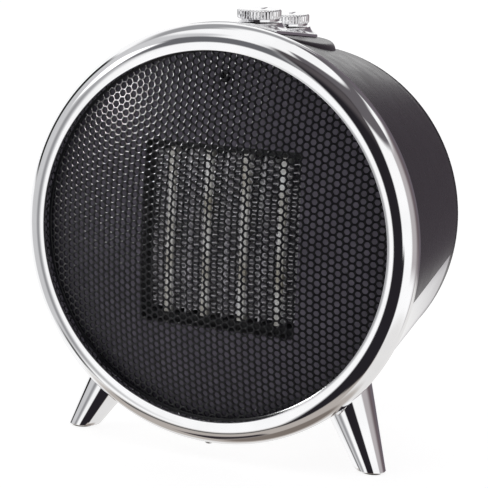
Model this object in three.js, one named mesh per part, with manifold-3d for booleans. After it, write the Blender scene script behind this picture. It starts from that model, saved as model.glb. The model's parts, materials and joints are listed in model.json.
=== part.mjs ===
// Drum-shaped ceramic fan heater on three splayed legs.
// Units are millimetres. In the drum's own frame X is across, Y runs from the front opening to the
// rear cover along the drum's axis, and Z is up. The whole drum is then lifted onto its feet.
import * as THREE from 'three';
import * as BufferGeometryUtils from 'three/addons/utils/BufferGeometryUtils.js';
import Module from 'manifold-3d';

// ---- Driving dimensions -------------------------------------------------------------------------
const OPENING_RADIUS = 100;
const BEZEL_RADIUS = 114.2;
const BEZEL_DEPTH = 12.1;
const LIP_WIDTH = 2.8;
const BEZEL_SKIN = 1.8;
const AXIS_HEIGHT = 122.3;

const GRILLE_BACK_SET = 5.2;
const GRILLE_THICKNESS = 1.0;
const GRILLE_RISE = 15;
const GRILLE_DOME_RADIUS = 97;
const GRILLE_RADIUS = 104.5;

const SHELL_FRONT = 8;
const SHELL_SHOULDER = 16;
const SHELL_REAR = 130;
const SHELL_NECK_RADIUS = 109.5;
const SHELL_FRONT_RADIUS = 112.3;
const SHELL_REAR_RADIUS = 96;
const SHELL_WALL = 2.2;
const SEAM_HEIGHT_AT_FRONT = -27;
const SEAM_SLOPE = 0.085;

const PLATE_FRONT = 12;
const PLATE_RADIUS = 107;
const WINDOW_HALF_WIDTH = 46;
const WINDOW_TOP = 48.9;
const WINDOW_BOTTOM = -51.7;

const CORE_FRONT = 20;
const CORE_DEPTH = 15;
const BAR_PITCH = 21.9;
const BAR_WIDTH = 4;
const SPACER_WIDTH = 1;
const FIN_PERIODS = 9;

const FAN_RADIUS = 39.5;
const COVER_THICKNESS = 3.2;
const KNOB_RADIUS = 12.2;
const KNOB_HEIGHT = 6.5;
const FRONT_SEAT = { y: 54, z: 113.5 };
const REAR_SEAT = { y: 95.2, z: 109.2 };
const CONTROL_TILT = THREE.MathUtils.degToRad(2.5);

const GAP = 0.3;
const RING_SEGMENTS = 48;

// ---- Materials ----------------------------------------------------------------------------------
const FINISHES = {
  chrome: { color: 0xe4e6e8, roughness: 0.08, metalness: 1.0 },
  blackGloss: { color: 0x1c1a1d, roughness: 0.28, metalness: 0.0 },
  blackMetal: { color: 0x141315, roughness: 0.4, metalness: 0.4 },
  darkPlate: { color: 0x39363d, roughness: 0.5, metalness: 0.3 },
  aluminium: { color: 0xb9b6ad, roughness: 0.35, metalness: 0.9 },
  ceramic: { color: 0xd9d0bb, roughness: 0.6, metalness: 0.0 },
  steel: { color: 0xa7a8aa, roughness: 0.35, metalness: 0.9 },
  brass: { color: 0xc39a4a, roughness: 0.35, metalness: 0.9 },
  plainPlastic: { color: 0x2b2b2d, roughness: 0.6, metalness: 0.0 },
  whitePlastic: { color: 0xe8e6df, roughness: 0.5, metalness: 0.0 },
  rubber: { color: 0x18181a, roughness: 0.9, metalness: 0.0 },
};

// ---- Solid helpers ------------------------------------------------------------------------------
const wasm = await Module();
wasm.setup();

const WELD_DISTANCE = 1e-4;

function signedVolume(position, index) {
  const a = new THREE.Vector3();
  const b = new THREE.Vector3();
  const c = new THREE.Vector3();
  let volume = 0;
  for (let i = 0; i < index.length; i += 3) {
    a.fromBufferAttribute(position, index[i]);
    b.fromBufferAttribute(position, index[i + 1]);
    c.fromBufferAttribute(position, index[i + 2]);
    volume += a.dot(b.cross(c)) / 6;
  }
  return volume;
}

// One closed skin: shared vertices merged, collapsed triangles dropped, faces turned outward.
function weld(geometry) {
  const bare = geometry.clone();
  bare.deleteAttribute('normal');
  bare.deleteAttribute('uv');
  const merged = BufferGeometryUtils.mergeVertices(bare, WELD_DISTANCE);
  const index = merged.index.array;
  const kept = [];
  for (let i = 0; i < index.length; i += 3) {
    const [a, b, c] = [index[i], index[i + 1], index[i + 2]];
    if (a !== b && b !== c && c !== a) {
      kept.push(a, b, c);
    }
  }
  if (signedVolume(merged.getAttribute('position'), kept) < 0) {
    kept.reverse();
  }
  merged.setIndex(kept);
  return merged;
}

function toManifold(geometry) {
  const welded = weld(geometry);
  return new wasm.Manifold(new wasm.Mesh({
    numProp: 3,
    vertProperties: new Float32Array(welded.getAttribute('position').array),
    triVerts: new Uint32Array(welded.index.array),
  }));
}

function fromManifold(solid) {
  const mesh = solid.getMesh();
  const geometry = new THREE.BufferGeometry();
  geometry.setAttribute('position', new THREE.BufferAttribute(new Float32Array(mesh.vertProperties), 3));
  geometry.setIndex(Array.from(mesh.triVerts));
  geometry.computeVertexNormals();
  return geometry;
}

function join(first, ...others) {
  return fromManifold(others.reduce((solid, other) => solid.add(toManifold(other)), toManifold(first)));
}

function cut(first, ...tools) {
  return fromManifold(tools.reduce((solid, tool) => solid.subtract(toManifold(tool)), toManifold(first)));
}

function common(first, second) {
  return fromManifold(toManifold(first).intersect(toManifold(second)));
}

// A ring or disc about the Y axis from [radius, y] points, listed as a closed outline.
function turned(outline, segments = RING_SEGMENTS) {
  const points = outline.map(([radius, y]) => new THREE.Vector2(radius, y));
  points.push(points[0].clone());
  return weld(new THREE.LatheGeometry(points, segments));
}

// The same about the Z axis.
function turnedUpright(outline, segments) {
  return turned(outline, segments).rotateX(Math.PI / 2);
}

// A solid disc or cone about the Y axis; its outline starts and ends on the axis.
function turnedSolid(outline, segments = RING_SEGMENTS) {
  return weld(new THREE.LatheGeometry(outline.map(([radius, y]) => new THREE.Vector2(radius, y)), segments));
}

// An outline in X and Z, given thickness along +Y from y = 0.
function slab(shape, thickness, curveSegments = 16) {
  const settings = { depth: thickness, bevelEnabled: false, curveSegments };
  const geometry = new THREE.ExtrudeGeometry(shape, settings);
  return weld(geometry.rotateX(Math.PI / 2).translate(0, thickness, 0));
}

function box(width, depth, height, x = 0, y = 0, z = 0) {
  return new THREE.BoxGeometry(width, depth, height).translate(x, y, z);
}

function rectangle(left, right, bottom, top, kind = THREE.Path) {
  const path = new kind();
  path.moveTo(left, bottom);
  path.lineTo(right, bottom);
  path.lineTo(right, top);
  path.lineTo(left, top);
  path.closePath();
  return path;
}

function circle(radius, x = 0, z = 0, kind = THREE.Path) {
  const path = new kind();
  path.absarc(x, z, radius, 0, Math.PI * 2, false);
  return path;
}

// The turn that carries local +Y onto a direction.
function turnTo(direction) {
  return new THREE.Quaternion().setFromUnitVectors(new THREE.Vector3(0, 1, 0), direction);
}

function placed(geometry, position, quaternion) {
  const one = new THREE.Vector3(1, 1, 1);
  return geometry.clone().applyMatrix4(new THREE.Matrix4().compose(position, quaternion, one));
}

const drum = new THREE.Group();

function addPart(name, geometry, finish, position = [0, 0, 0], parent = drum) {
  const mesh = new THREE.Mesh(geometry, new THREE.MeshStandardMaterial(FINISHES[finish]));
  mesh.name = name;
  mesh.position.set(...position);
  parent.add(mesh);
  return mesh;
}

function shellRadius(y) {
  const share = (y - SHELL_SHOULDER) / (SHELL_REAR - SHELL_SHOULDER);
  return SHELL_FRONT_RADIUS + share * (SHELL_REAR_RADIUS - SHELL_FRONT_RADIUS);
}

const TAPER = (SHELL_REAR_RADIUS - SHELL_FRONT_RADIUS) / (SHELL_REAR - SHELL_SHOULDER);

// ---- Front bezel: a rolled ring with a narrow flat lip ------------------------------------------
const ROLL_DEPTH = 10.2;
const BEZEL_INNER_REAR = 4.5;
const BEZEL_SCREW_Y = 10;
const BEZEL_SCREW_HOLE = 2.6;

// Quarter of an ellipse from the lip round to the outer band, as [radius, y] points.
function rolledEdge(inset, steps) {
  const across = BEZEL_RADIUS - OPENING_RADIUS - LIP_WIDTH - inset;
  const along = ROLL_DEPTH - inset;
  const points = [];
  for (let i = 0; i <= steps; i += 1) {
    const angle = (i / steps) * Math.PI / 2;
    const radius = BEZEL_RADIUS - inset - across * (1 - Math.sin(angle));
    points.push([radius, ROLL_DEPTH - along * Math.cos(angle)]);
  }
  return points;
}

function bezelGeometry() {
  const outline = [
    [OPENING_RADIUS, BEZEL_INNER_REAR],
    [OPENING_RADIUS, 0.4],
    [OPENING_RADIUS + 0.4, 0],
    ...rolledEdge(0, 6),
    [BEZEL_RADIUS, BEZEL_DEPTH],
    [BEZEL_RADIUS - BEZEL_SKIN, BEZEL_DEPTH],
    ...rolledEdge(BEZEL_SKIN, 3).reverse(),
    [OPENING_RADIUS + BEZEL_SKIN, BEZEL_INNER_REAR],
  ];
  const hole = new THREE.CylinderGeometry(BEZEL_SCREW_HOLE, BEZEL_SCREW_HOLE, 8, 12);
  hole.rotateX(Math.PI / 2).translate(0, BEZEL_SCREW_Y, -BEZEL_RADIUS);
  return cut(turned(outline), hole);
}

addPart('front_bezel', bezelGeometry(), 'chrome');

// A screw about its own Y axis: the head's top at y = 0 and the shank running to -length.
function screwGeometry(headRadius, headHeight, shankRadius, length) {
  const slotWidth = headRadius / 3;
  const screw = turnedSolid([
    [0, -length],
    [shankRadius, -length],
    [shankRadius, -headHeight],
    [headRadius, -headHeight],
    [headRadius, 0],
    [0, 0],
  ], 10);
  const recess = headHeight / 2;
  const long = box(headRadius * 1.1, recess * 2, slotWidth);
  const short = box(slotWidth, recess * 2, headRadius * 1.1);
  return cut(screw, long, short);
}

const bezelScrew = addPart('bezel_screw', screwGeometry(2.2, 1.1, 1.2, 7), 'steel');
bezelScrew.position.set(0, BEZEL_SCREW_Y, -BEZEL_RADIUS + 0.2);
bezelScrew.rotation.x = -Math.PI / 2;

// ---- Front grille: a shallow dome of open honeycomb, with a plain rim behind the lip ------------
const HOLE_PITCH = 22;
const HOLE_RADIUS = 8.6;
const HOLE_FIELD = 91;

function hexagon(radius, x, z) {
  const path = new THREE.Path();
  for (let i = 0; i < 6; i += 1) {
    const angle = (i * Math.PI) / 3;
    const [px, pz] = [x + radius * Math.cos(angle), z + radius * Math.sin(angle)];
    if (i === 0) {
      path.moveTo(px, pz);
    } else {
      path.lineTo(px, pz);
    }
  }
  path.closePath();
  return path;
}

// Columns stand upright and every second column is half a pitch lower.
function honeycomb(pitch, radius, field) {
  const holes = [];
  const columnStep = pitch * Math.sqrt(3) / 2;
  const columns = Math.floor(field / columnStep);
  for (let column = -columns; column <= columns; column += 1) {
    const x = column * columnStep;
    const shift = column % 2 === 0 ? 0 : pitch / 2;
    for (let row = -columns; row <= columns; row += 1) {
      const z = row * pitch + shift;
      if (Math.hypot(x, z) + radius < field) {
        holes.push(hexagon(radius, x, z));
      }
    }
  }
  return holes;
}

function grilleGeometry() {
  const shape = circle(GRILLE_DOME_RADIUS, 0, 0, THREE.Shape);
  shape.holes = honeycomb(HOLE_PITCH, HOLE_RADIUS, HOLE_FIELD);
  const dome = slab(shape, GRILLE_THICKNESS, 24);
  const position = dome.getAttribute('position');
  for (let i = 0; i < position.count; i += 1) {
    const share = Math.hypot(position.getX(i), position.getZ(i)) / GRILLE_DOME_RADIUS;
    position.setY(i, position.getY(i) - GRILLE_RISE * (1 - share * share));
  }
  const inner = GRILLE_DOME_RADIUS - 2;
  const rim = turned([
    [inner, -0.2],
    [GRILLE_RADIUS, -0.2],
    [GRILLE_RADIUS, GRILLE_THICKNESS + 0.2],
    [inner, GRILLE_THICKNESS + 0.2],
  ]);
  return join(dome, rim);
}

addPart('front_grille', grilleGeometry(), 'blackMetal', [0, GRILLE_BACK_SET, 0]);

const retainer = [[101.6, 6.7], [106, 6.7], [106, 9], [101.6, 9]];
addPart('grille_retaining_ring', turned(retainer, 32), 'plainPlastic');

// ---- Front plate with the window ----------------------------------------------------------------
const PLATE_THICKNESS = 1.6;
const PLATE_SCREW_HEIGHT = 86;

function frontPlateGeometry() {
  const shape = circle(PLATE_RADIUS, 0, 0, THREE.Shape);
  shape.holes.push(rectangle(-WINDOW_HALF_WIDTH, WINDOW_HALF_WIDTH, WINDOW_BOTTOM, WINDOW_TOP));
  shape.holes.push(circle(1.9, 0, PLATE_SCREW_HEIGHT));
  return slab(shape, PLATE_THICKNESS, 18);
}

addPart('front_plate', frontPlateGeometry(), 'darkPlate', [0, PLATE_FRONT, 0]);

const plateScrew = addPart('plate_screw', screwGeometry(3.4, 1.3, 1.5, 9), 'steel');
plateScrew.position.set(0, PLATE_FRONT - 1.3 - GAP, PLATE_SCREW_HEIGHT);
plateScrew.rotation.x = Math.PI;

// ---- Duct and heating core ----------------------------------------------------------------------
const DUCT_FRONT = PLATE_FRONT + PLATE_THICKNESS + GAP;
const DUCT_REAR = 52;
const DUCT_WALL = 1.8;
const WINDOW_CENTRE = (WINDOW_TOP + WINDOW_BOTTOM) / 2;
const WINDOW_HEIGHT = WINDOW_TOP - WINDOW_BOTTOM;

// A rectangular tube along Y, from its inner size and its wall.
function rectangularTube(halfWidth, bottom, top, wall, length) {
  const shape = rectangle(-halfWidth - wall, halfWidth + wall, bottom - wall, top + wall, THREE.Shape);
  shape.holes.push(rectangle(-halfWidth, halfWidth, bottom, top));
  return slab(shape, length);
}

const ductTube = rectangularTube(
  WINDOW_HALF_WIDTH, WINDOW_BOTTOM, WINDOW_TOP, DUCT_WALL, DUCT_REAR - DUCT_FRONT,
);
addPart('air_duct', ductTube, 'plainPlastic', [0, DUCT_FRONT, 0]);

const FRAME_INNER_HALF_WIDTH = 2 * BAR_PITCH - 0.5;
const FRAME_RAIL = 4;
const FRAME_BOTTOM = WINDOW_BOTTOM + GAP + FRAME_RAIL;
const FRAME_TOP = WINDOW_TOP - GAP - FRAME_RAIL;

function coreFrameGeometry() {
  const outerHalf = WINDOW_HALF_WIDTH - GAP;
  const [bottom, top] = [WINDOW_BOTTOM + GAP, WINDOW_TOP - GAP];
  const shape = rectangle(-outerHalf, outerHalf, bottom, top, THREE.Shape);
  const half = FRAME_INNER_HALF_WIDTH;
  shape.holes.push(rectangle(-half, half, FRAME_BOTTOM, FRAME_TOP));
  return slab(shape, CORE_DEPTH + 1);
}

addPart('core_frame', coreFrameGeometry(), 'plainPlastic', [0, CORE_FRONT - 0.5, 0]);

const coreHeight = FRAME_TOP - FRAME_BOTTOM - 2 * GAP;
const coreMiddle = [CORE_FRONT + CORE_DEPTH / 2, (FRAME_TOP + FRAME_BOTTOM) / 2];
const barOffsets = [-1.5, -0.5, 0.5, 1.5];
barOffsets.forEach((offset, i) => {
  const bar = new THREE.BoxGeometry(BAR_WIDTH, CORE_DEPTH, coreHeight);
  addPart(`heating_bar_${i + 1}`, bar, 'ceramic', [offset * BAR_PITCH, ...coreMiddle]);
});

[-1, 0, 1].forEach((offset, i) => {
  const spacer = new THREE.BoxGeometry(SPACER_WIDTH, CORE_DEPTH, coreHeight);
  addPart(`fin_spacer_${i + 1}`, spacer, 'aluminium', [offset * BAR_PITCH, ...coreMiddle]);
});

// One strip folded from side to side as it climbs.
function finGeometry(width) {
  const thickness = 1;
  const folds = 2 * FIN_PERIODS;
  const strip = new THREE.BoxGeometry(thickness, CORE_DEPTH - 1, coreHeight, 1, 1, folds);
  const position = strip.getAttribute('position');
  for (let i = 0; i < position.count; i += 1) {
    const fold = Math.round((position.getZ(i) / coreHeight + 0.5) * folds);
    const side = fold % 2 === 0 ? -1 : 1;
    position.setX(i, position.getX(i) + (side * (width - thickness)) / 2);
  }
  return weld(strip);
}

const FIN_WIDTH = (BAR_PITCH - BAR_WIDTH - SPACER_WIDTH) / 2 - 2 * GAP;
const FIN_OFFSET = (SPACER_WIDTH + FIN_WIDTH) / 2 + GAP;
[-2, -1, -1, 0, 0, 1, 1, 2].forEach((line, i) => {
  const side = i % 2 === 0 ? 1 : -1;
  const x = line * BAR_PITCH + side * FIN_OFFSET;
  addPart(`fin_strip_${i + 1}`, finGeometry(FIN_WIDTH), 'aluminium', [x, ...coreMiddle]);
});

[-1, 1].forEach((side, i) => {
  const tab = new THREE.BoxGeometry(6.3, 9, 0.8);
  const position = [side * 1.5 * BAR_PITCH, CORE_FRONT + CORE_DEPTH + 5.2, FRAME_TOP - 6];
  addPart(`core_terminal_${i + 1}`, tab, 'brass', position);
});

// ---- Safety parts on the duct -------------------------------------------------------------------
const ductTop = WINDOW_TOP + DUCT_WALL;
const cutoutBase = box(24, 12, 1.5, 0, 0, 0.75);
const cutoutBody = new THREE.CylinderGeometry(6, 6, 7, 20).rotateX(Math.PI / 2).translate(0, 0, 4.5);
addPart('thermal_cutout', join(cutoutBase, cutoutBody), 'steel', [14, 36, ductTop + GAP]);

const fuse = new THREE.CylinderGeometry(2, 2, 14, 16).rotateZ(Math.PI / 2);
addPart('thermal_fuse', fuse, 'whitePlastic', [-22, 36, ductTop + 2 + GAP]);

// ---- Fan, motor and shroud ----------------------------------------------------------------------
const SHROUD_FRONT = DUCT_REAR + GAP;
const COLLAR_INNER = FAN_RADIUS + 2.5;
const COLLAR_REAR = 76;
const FAN_FRONT = 57;
const FAN_REAR = 71;
const HUB_RADIUS = 12;
const SHAFT_RADIUS = 1.6;
const BLADE_COUNT = 7;

function shroudGeometry() {
  const shape = rectangle(-53, 53, -57, 55, THREE.Shape);
  shape.holes.push(circle(COLLAR_INNER));
  const plate = slab(shape, 2, 20);
  const collar = turned([
    [COLLAR_INNER, 0],
    [COLLAR_INNER + 2, 0],
    [COLLAR_INNER + 2, COLLAR_REAR - SHROUD_FRONT],
    [COLLAR_INNER, COLLAR_REAR - SHROUD_FRONT],
  ], 32);
  return join(plate, collar);
}

addPart('fan_shroud', shroudGeometry(), 'plainPlastic', [0, SHROUD_FRONT, 0]);

// The fan turns about Y, so its group stands on the drum's axis.
const rotor = new THREE.Group();
drum.add(rotor);

function fanGeometry() {
  const half = (FAN_REAR - FAN_FRONT) / 2;
  const bore = SHAFT_RADIUS + GAP;
  const hub = turned([[bore, -half], [HUB_RADIUS - 2, -half], [HUB_RADIUS, -half + 2],
    [HUB_RADIUS, half], [bore, half]], 28);
  const length = FAN_RADIUS - HUB_RADIUS + 1.5;
  const blades = [];
  for (let i = 0; i < BLADE_COUNT; i += 1) {
    const blade = new THREE.BoxGeometry(length, 1.4, 17);
    blade.rotateX(THREE.MathUtils.degToRad(38)).translate(FAN_RADIUS - length / 2, 0, 0);
    blades.push(blade.rotateY((i / BLADE_COUNT) * Math.PI * 2));
  }
  return join(hub, ...blades);
}

addPart('fan', fanGeometry(), 'plainPlastic', [0, (FAN_FRONT + FAN_REAR) / 2, 0], rotor);
const shaft = new THREE.CylinderGeometry(SHAFT_RADIUS, SHAFT_RADIUS, 32, 16);
addPart('motor_shaft', shaft, 'steel', [0, 75, 0], rotor);

const bracketShape = rectangle(-50, 50, -9, 9, THREE.Shape);
bracketShape.holes.push(circle(7));
addPart('motor_bracket', slab(bracketShape, 2), 'steel', [0, COLLAR_REAR + GAP, 0]);

const motorFront = COLLAR_REAR + GAP + 2 + GAP;
const motorOutline = [
  [SHAFT_RADIUS + GAP, -1.8],
  [6, -1.8],
  [6, 0],
  [21, 0],
  [23, 2],
  [23, 26],
  [21, 28],
  [0, 28],
  [0, 16],
  [SHAFT_RADIUS + GAP, 16],
];
addPart('motor', turned(motorOutline, 20), 'steel', [0, motorFront, 0]);

// ---- Control frames -----------------------------------------------------------------------------
// Each control stands in a frame of its own on its seat, leaning a little towards the front. Local Z
// is the axis that its knob turns about.
function controlFrame(seat) {
  const group = new THREE.Group();
  group.position.set(0, seat.y, seat.z);
  group.rotation.x = CONTROL_TILT;
  drum.add(group);
  group.updateMatrix();
  return group;
}

const controlFrames = [controlFrame(FRONT_SEAT), controlFrame(REAR_SEAT)];
const BUSH_RADIUS = 4.2;
const BUSH_HOLE = BUSH_RADIUS + GAP;

function extrudedUp(shape, bottom, top, curveSegments = 8) {
  const settings = { depth: top - bottom, bevelEnabled: false, curveSegments };
  return weld(new THREE.ExtrudeGeometry(shape, settings).translate(0, 0, bottom));
}

function uprightCylinder(radius, bottom, top, segments = 20) {
  const cylinder = new THREE.CylinderGeometry(radius, radius, top - bottom, segments);
  return cylinder.rotateX(Math.PI / 2).translate(0, 0, (top + bottom) / 2);
}

// Copies of a piece, one on each control's seat, in the drum's frame.
function onBothSeats(geometry) {
  return controlFrames.map((frame) => geometry.clone().applyMatrix4(frame.matrix));
}

// ---- The hump under the controls: an oval patch that stands higher off the drum towards the rear --
const HUMP_HALF_WIDTH = 35;
const HUMP_HALF_LENGTH = 70;
const HUMP_CENTRE = 58;
const HUMP_FRONT = SHELL_SHOULDER + 0.3;
const HUMP_START_HEIGHT = 0.6;
const HUMP_CLIMB = 0.038;
const HUMP_RIM = 2.6;
const BELOW_HUMP = 60;
const ABOVE_HUMP = 130;

function humpRadius(y) {
  return shellRadius(y) + HUMP_START_HEIGHT + HUMP_CLIMB * (y - SHELL_SHOULDER);
}

// Everything inside the hump's top surface, raised or lowered by an offset, behind a front plane.
function humpSolid(offset, front = HUMP_FRONT) {
  return turnedSolid([
    [0, front],
    [humpRadius(front) + offset, front],
    [humpRadius(SHELL_REAR) + offset, SHELL_REAR],
    [0, SHELL_REAR],
  ], 2 * RING_SEGMENTS);
}

function humpOutline(inset) {
  const shape = new THREE.Shape();
  shape.absellipse(0, HUMP_CENTRE, HUMP_HALF_WIDTH - inset, HUMP_HALF_LENGTH - inset, 0, Math.PI * 2);
  return extrudedUp(shape, BELOW_HUMP, ABOVE_HUMP, 18);
}

// ---- Drum shell, in two halves along a nearly level seam ----------------------------------------
function drumWall() {
  const slopeInset = SHELL_SHOULDER + 0.8;
  return turned([
    [SHELL_NECK_RADIUS - SHELL_WALL, SHELL_FRONT],
    [SHELL_NECK_RADIUS, SHELL_FRONT],
    [SHELL_NECK_RADIUS, SHELL_SHOULDER - 0.4],
    [SHELL_FRONT_RADIUS, SHELL_SHOULDER],
    [SHELL_REAR_RADIUS, SHELL_REAR],
    [SHELL_REAR_RADIUS - SHELL_WALL, SHELL_REAR],
    [SHELL_FRONT_RADIUS - SHELL_WALL, slopeInset],
    [SHELL_NECK_RADIUS - SHELL_WALL, slopeInset - 0.4],
  ]);
}

// Everything below the seam, raised or lowered by an offset.
function belowSeam(offset) {
  const half = 150;
  const block = box(3 * half, 3 * half, 2 * half, 0, 0, -half);
  block.rotateX(Math.atan(SEAM_SLOPE));
  return block.translate(0, 0, SEAM_HEIGHT_AT_FRONT + offset);
}

function upperShellGeometry() {
  const midWall = turnedSolid([
    [0, SHELL_FRONT],
    [shellRadius(SHELL_FRONT) - SHELL_WALL / 2, SHELL_FRONT],
    [SHELL_REAR_RADIUS - SHELL_WALL / 2, SHELL_REAR],
    [0, SHELL_REAR],
  ]);
  const hump = cut(common(humpOutline(0), humpSolid(0)), midWall);
  const cavity = common(humpOutline(HUMP_RIM), humpSolid(-SHELL_WALL, HUMP_FRONT + HUMP_RIM));
  const holes = onBothSeats(uprightCylinder(BUSH_HOLE, -16, 2));
  return cut(join(drumWall(), hump), cavity, belowSeam(GAP / 2), ...holes);
}

addPart('upper_shell', upperShellGeometry(), 'blackGloss');

// ---- Legs: three splayed cones that meet the shell square to their own axes ---------------------
const LEG_BOTTOM_RADIUS = 7.5;
const LEG_TOP_RADIUS = 17;
const LEG_LENGTH = 62;
const PAD_THICKNESS = 0.8;
const PAD_INSET = 2.6;
const FLOOR = -AXIS_HEIGHT;
const LEG_SCREW_HOLE = 2.4;

const legs = [
  { name: 'front_left', foot: [-88.6, 29], lean: [0.51, 0.218], root: [-39.3, 36.5] },
  { name: 'front_right', foot: [88.6, 29], lean: [-0.51, 0.218], root: [39.3, 36.5] },
  { name: 'rear', foot: [0, 116], lean: [0, -0.3], root: [0, 108] },
];

function legAxis(leg) {
  return new THREE.Vector3(leg.lean[0], leg.lean[1], 1).normalize();
}

function legFoot(leg) {
  return new THREE.Vector3(leg.foot[0], leg.foot[1], FLOOR);
}

// A cone round the leg's axis that starts a little below the floor.
function legCone(leg, inset = 0) {
  const below = 10;
  const axis = legAxis(leg);
  const slope = (LEG_TOP_RADIUS - LEG_BOTTOM_RADIUS) / LEG_LENGTH;
  const cone = turnedSolid([
    [0, -below],
    [LEG_BOTTOM_RADIUS - slope * below - inset, -below],
    [LEG_TOP_RADIUS - inset, LEG_LENGTH],
    [0, LEG_LENGTH],
  ], 28);
  return placed(cone, legFoot(leg), turnTo(axis));
}

// The solid drum, standing off its real skin by a gap.
function drumSolid(gap) {
  return turnedSolid([
    [0, SHELL_SHOULDER - 20],
    [BEZEL_RADIUS + gap, SHELL_SHOULDER - 20],
    [BEZEL_RADIUS + gap, BEZEL_DEPTH + gap],
    [SHELL_FRONT_RADIUS + gap, BEZEL_DEPTH + gap],
    [SHELL_FRONT_RADIUS + gap, SHELL_SHOULDER],
    [SHELL_REAR_RADIUS + gap, SHELL_REAR],
    [0, SHELL_REAR],
  ]);
}

// Where a leg's screw passes through the shell: the outer surface point and its outward normal.
function legRoot(leg) {
  const angle = THREE.MathUtils.degToRad(leg.root[0]);
  const y = leg.root[1];
  const radial = new THREE.Vector3(Math.sin(angle), 0, -Math.cos(angle));
  const point = radial.clone().multiplyScalar(shellRadius(y)).setY(y);
  const normal = radial.clone().setY(-TAPER).normalize();
  return { point, normal };
}

function legScrewTool(leg, radius, inward, outward) {
  const { point, normal } = legRoot(leg);
  const cylinder = new THREE.CylinderGeometry(radius, radius, inward + outward, 14);
  cylinder.translate(0, (outward - inward) / 2, 0);
  return placed(cylinder, point, turnTo(normal));
}

function legGeometry(leg) {
  const ground = box(60, 60, 40, leg.foot[0], leg.foot[1], FLOOR + PAD_THICKNESS + GAP - 20);
  return cut(legCone(leg), drumSolid(GAP), ground, legScrewTool(leg, LEG_SCREW_HOLE, 2, 14));
}

function padGeometry(leg) {
  const layer = box(60, 60, PAD_THICKNESS, leg.foot[0], leg.foot[1], FLOOR + PAD_THICKNESS / 2);
  return common(legCone(leg, PAD_INSET), layer);
}

legs.forEach((leg) => {
  addPart(`leg_${leg.name}`, legGeometry(leg), 'chrome');
  addPart(`foot_pad_${leg.name}`, padGeometry(leg), 'rubber');
  const { point, normal } = legRoot(leg);
  const screw = addPart(`leg_screw_${leg.name}`, screwGeometry(4.2, 2.4, 2, 16), 'steel');
  screw.position.copy(point).addScaledVector(normal, -SHELL_WALL - GAP - 2.4);
  screw.quaternion.copy(turnTo(normal.clone().negate()));
});

function lowerShellGeometry() {
  const half = common(drumWall(), belowSeam(-GAP / 2));
  const bezelHole = new THREE.CylinderGeometry(1.6, 1.6, 12, 12);
  bezelHole.rotateX(Math.PI / 2).translate(0, BEZEL_SCREW_Y, -SHELL_NECK_RADIUS);
  return cut(half, bezelHole, ...legs.map((leg) => legScrewTool(leg, LEG_SCREW_HOLE, 8, 4)));
}

addPart('lower_shell', lowerShellGeometry(), 'chrome');

// ---- Control panel, knobs and switches ----------------------------------------------------------
const PANEL_THICKNESS = 1.5;
const PANEL_FRONT = 17.6;
const PANEL_FRONT_HALF_WIDTH = 26;
const PANEL_REAR_RADIUS = 17.2;

// A tongue that narrows from the front to a round end behind the rear knob.
function panelOutline() {
  const widening = Math.atan((PANEL_FRONT_HALF_WIDTH - PANEL_REAR_RADIUS) / (REAR_SEAT.y - PANEL_FRONT));
  const shape = new THREE.Shape();
  shape.moveTo(-PANEL_FRONT_HALF_WIDTH, PANEL_FRONT);
  shape.lineTo(PANEL_FRONT_HALF_WIDTH, PANEL_FRONT);
  shape.absarc(0, REAR_SEAT.y, PANEL_REAR_RADIUS, widening, Math.PI - widening, false);
  shape.closePath();
  return extrudedUp(shape, BELOW_HUMP, ABOVE_HUMP, 14);
}

function controlPanelGeometry() {
  const plate = common(panelOutline(), humpSolid(GAP + PANEL_THICKNESS));
  const seat = turnedUpright([
    [BUSH_HOLE, -8],
    [16.8, -8],
    [16.8, -4.4],
    [14.6, -3.3],
    [13.4, -2],
    [12.9, -0.4],
    [BUSH_HOLE, -0.4],
  ], 24);
  const holes = onBothSeats(uprightCylinder(BUSH_HOLE, -16, 2));
  return cut(join(plate, ...onBothSeats(seat)), humpSolid(GAP), ...holes);
}

addPart('control_panel', controlPanelGeometry(), 'chrome');

const SPINDLE_RADIUS = 2.9;
const FLUTES = 12;
const SWITCH_TOP = -9.8;

// A shallow cup with a fluted rim, bored for its spindle, with a raised pointer on top.
function knobGeometry() {
  const outline = [];
  for (let i = 0; i < FLUTES * 2; i += 1) {
    const angle = (i / (FLUTES * 2)) * Math.PI * 2;
    const radius = KNOB_RADIUS - (i % 2 === 0 ? 0 : 0.9);
    outline.push(new THREE.Vector2(radius * Math.cos(angle), radius * Math.sin(angle)));
  }
  const body = extrudedUp(new THREE.Shape(outline), 0.2, KNOB_HEIGHT);
  const bore = uprightCylinder(SPINDLE_RADIUS + GAP, -1, 4.8);
  const pointer = box(1.6, 7, 0.6, 0, 7, KNOB_HEIGHT + 0.2);
  return join(cut(body, bore), pointer);
}

function spindleGeometry() {
  return uprightCylinder(SPINDLE_RADIUS, -18, 4.5);
}

// A round switch body with a bush that carries the spindle through the shell and the panel.
function switchGeometry(radius, depth) {
  const bore = SPINDLE_RADIUS + GAP;
  return turnedUpright([
    [bore, -19],
    [0, -19],
    [0, SWITCH_TOP - depth],
    [radius, SWITCH_TOP - depth],
    [radius, SWITCH_TOP],
    [BUSH_RADIUS, SWITCH_TOP],
    [BUSH_RADIUS, -0.7],
    [bore, -0.7],
  ].reverse(), 16);
}

const controls = [
  { knob: 'mode_knob', spindle: 'mode_spindle', unit: 'mode_switch', radius: 12.5, depth: 16 },
  { knob: 'thermostat_knob', spindle: 'thermostat_spindle', unit: 'thermostat', radius: 11, depth: 20 },
];
controls.forEach((control, i) => {
  const onSeat = [[0, 0, 0], controlFrames[i]];
  addPart(control.unit, switchGeometry(control.radius, control.depth), 'plainPlastic', ...onSeat);
  addPart(control.spindle, spindleGeometry(), 'steel', ...onSeat);
  addPart(control.knob, knobGeometry(), 'chrome', ...onSeat);
});

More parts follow.
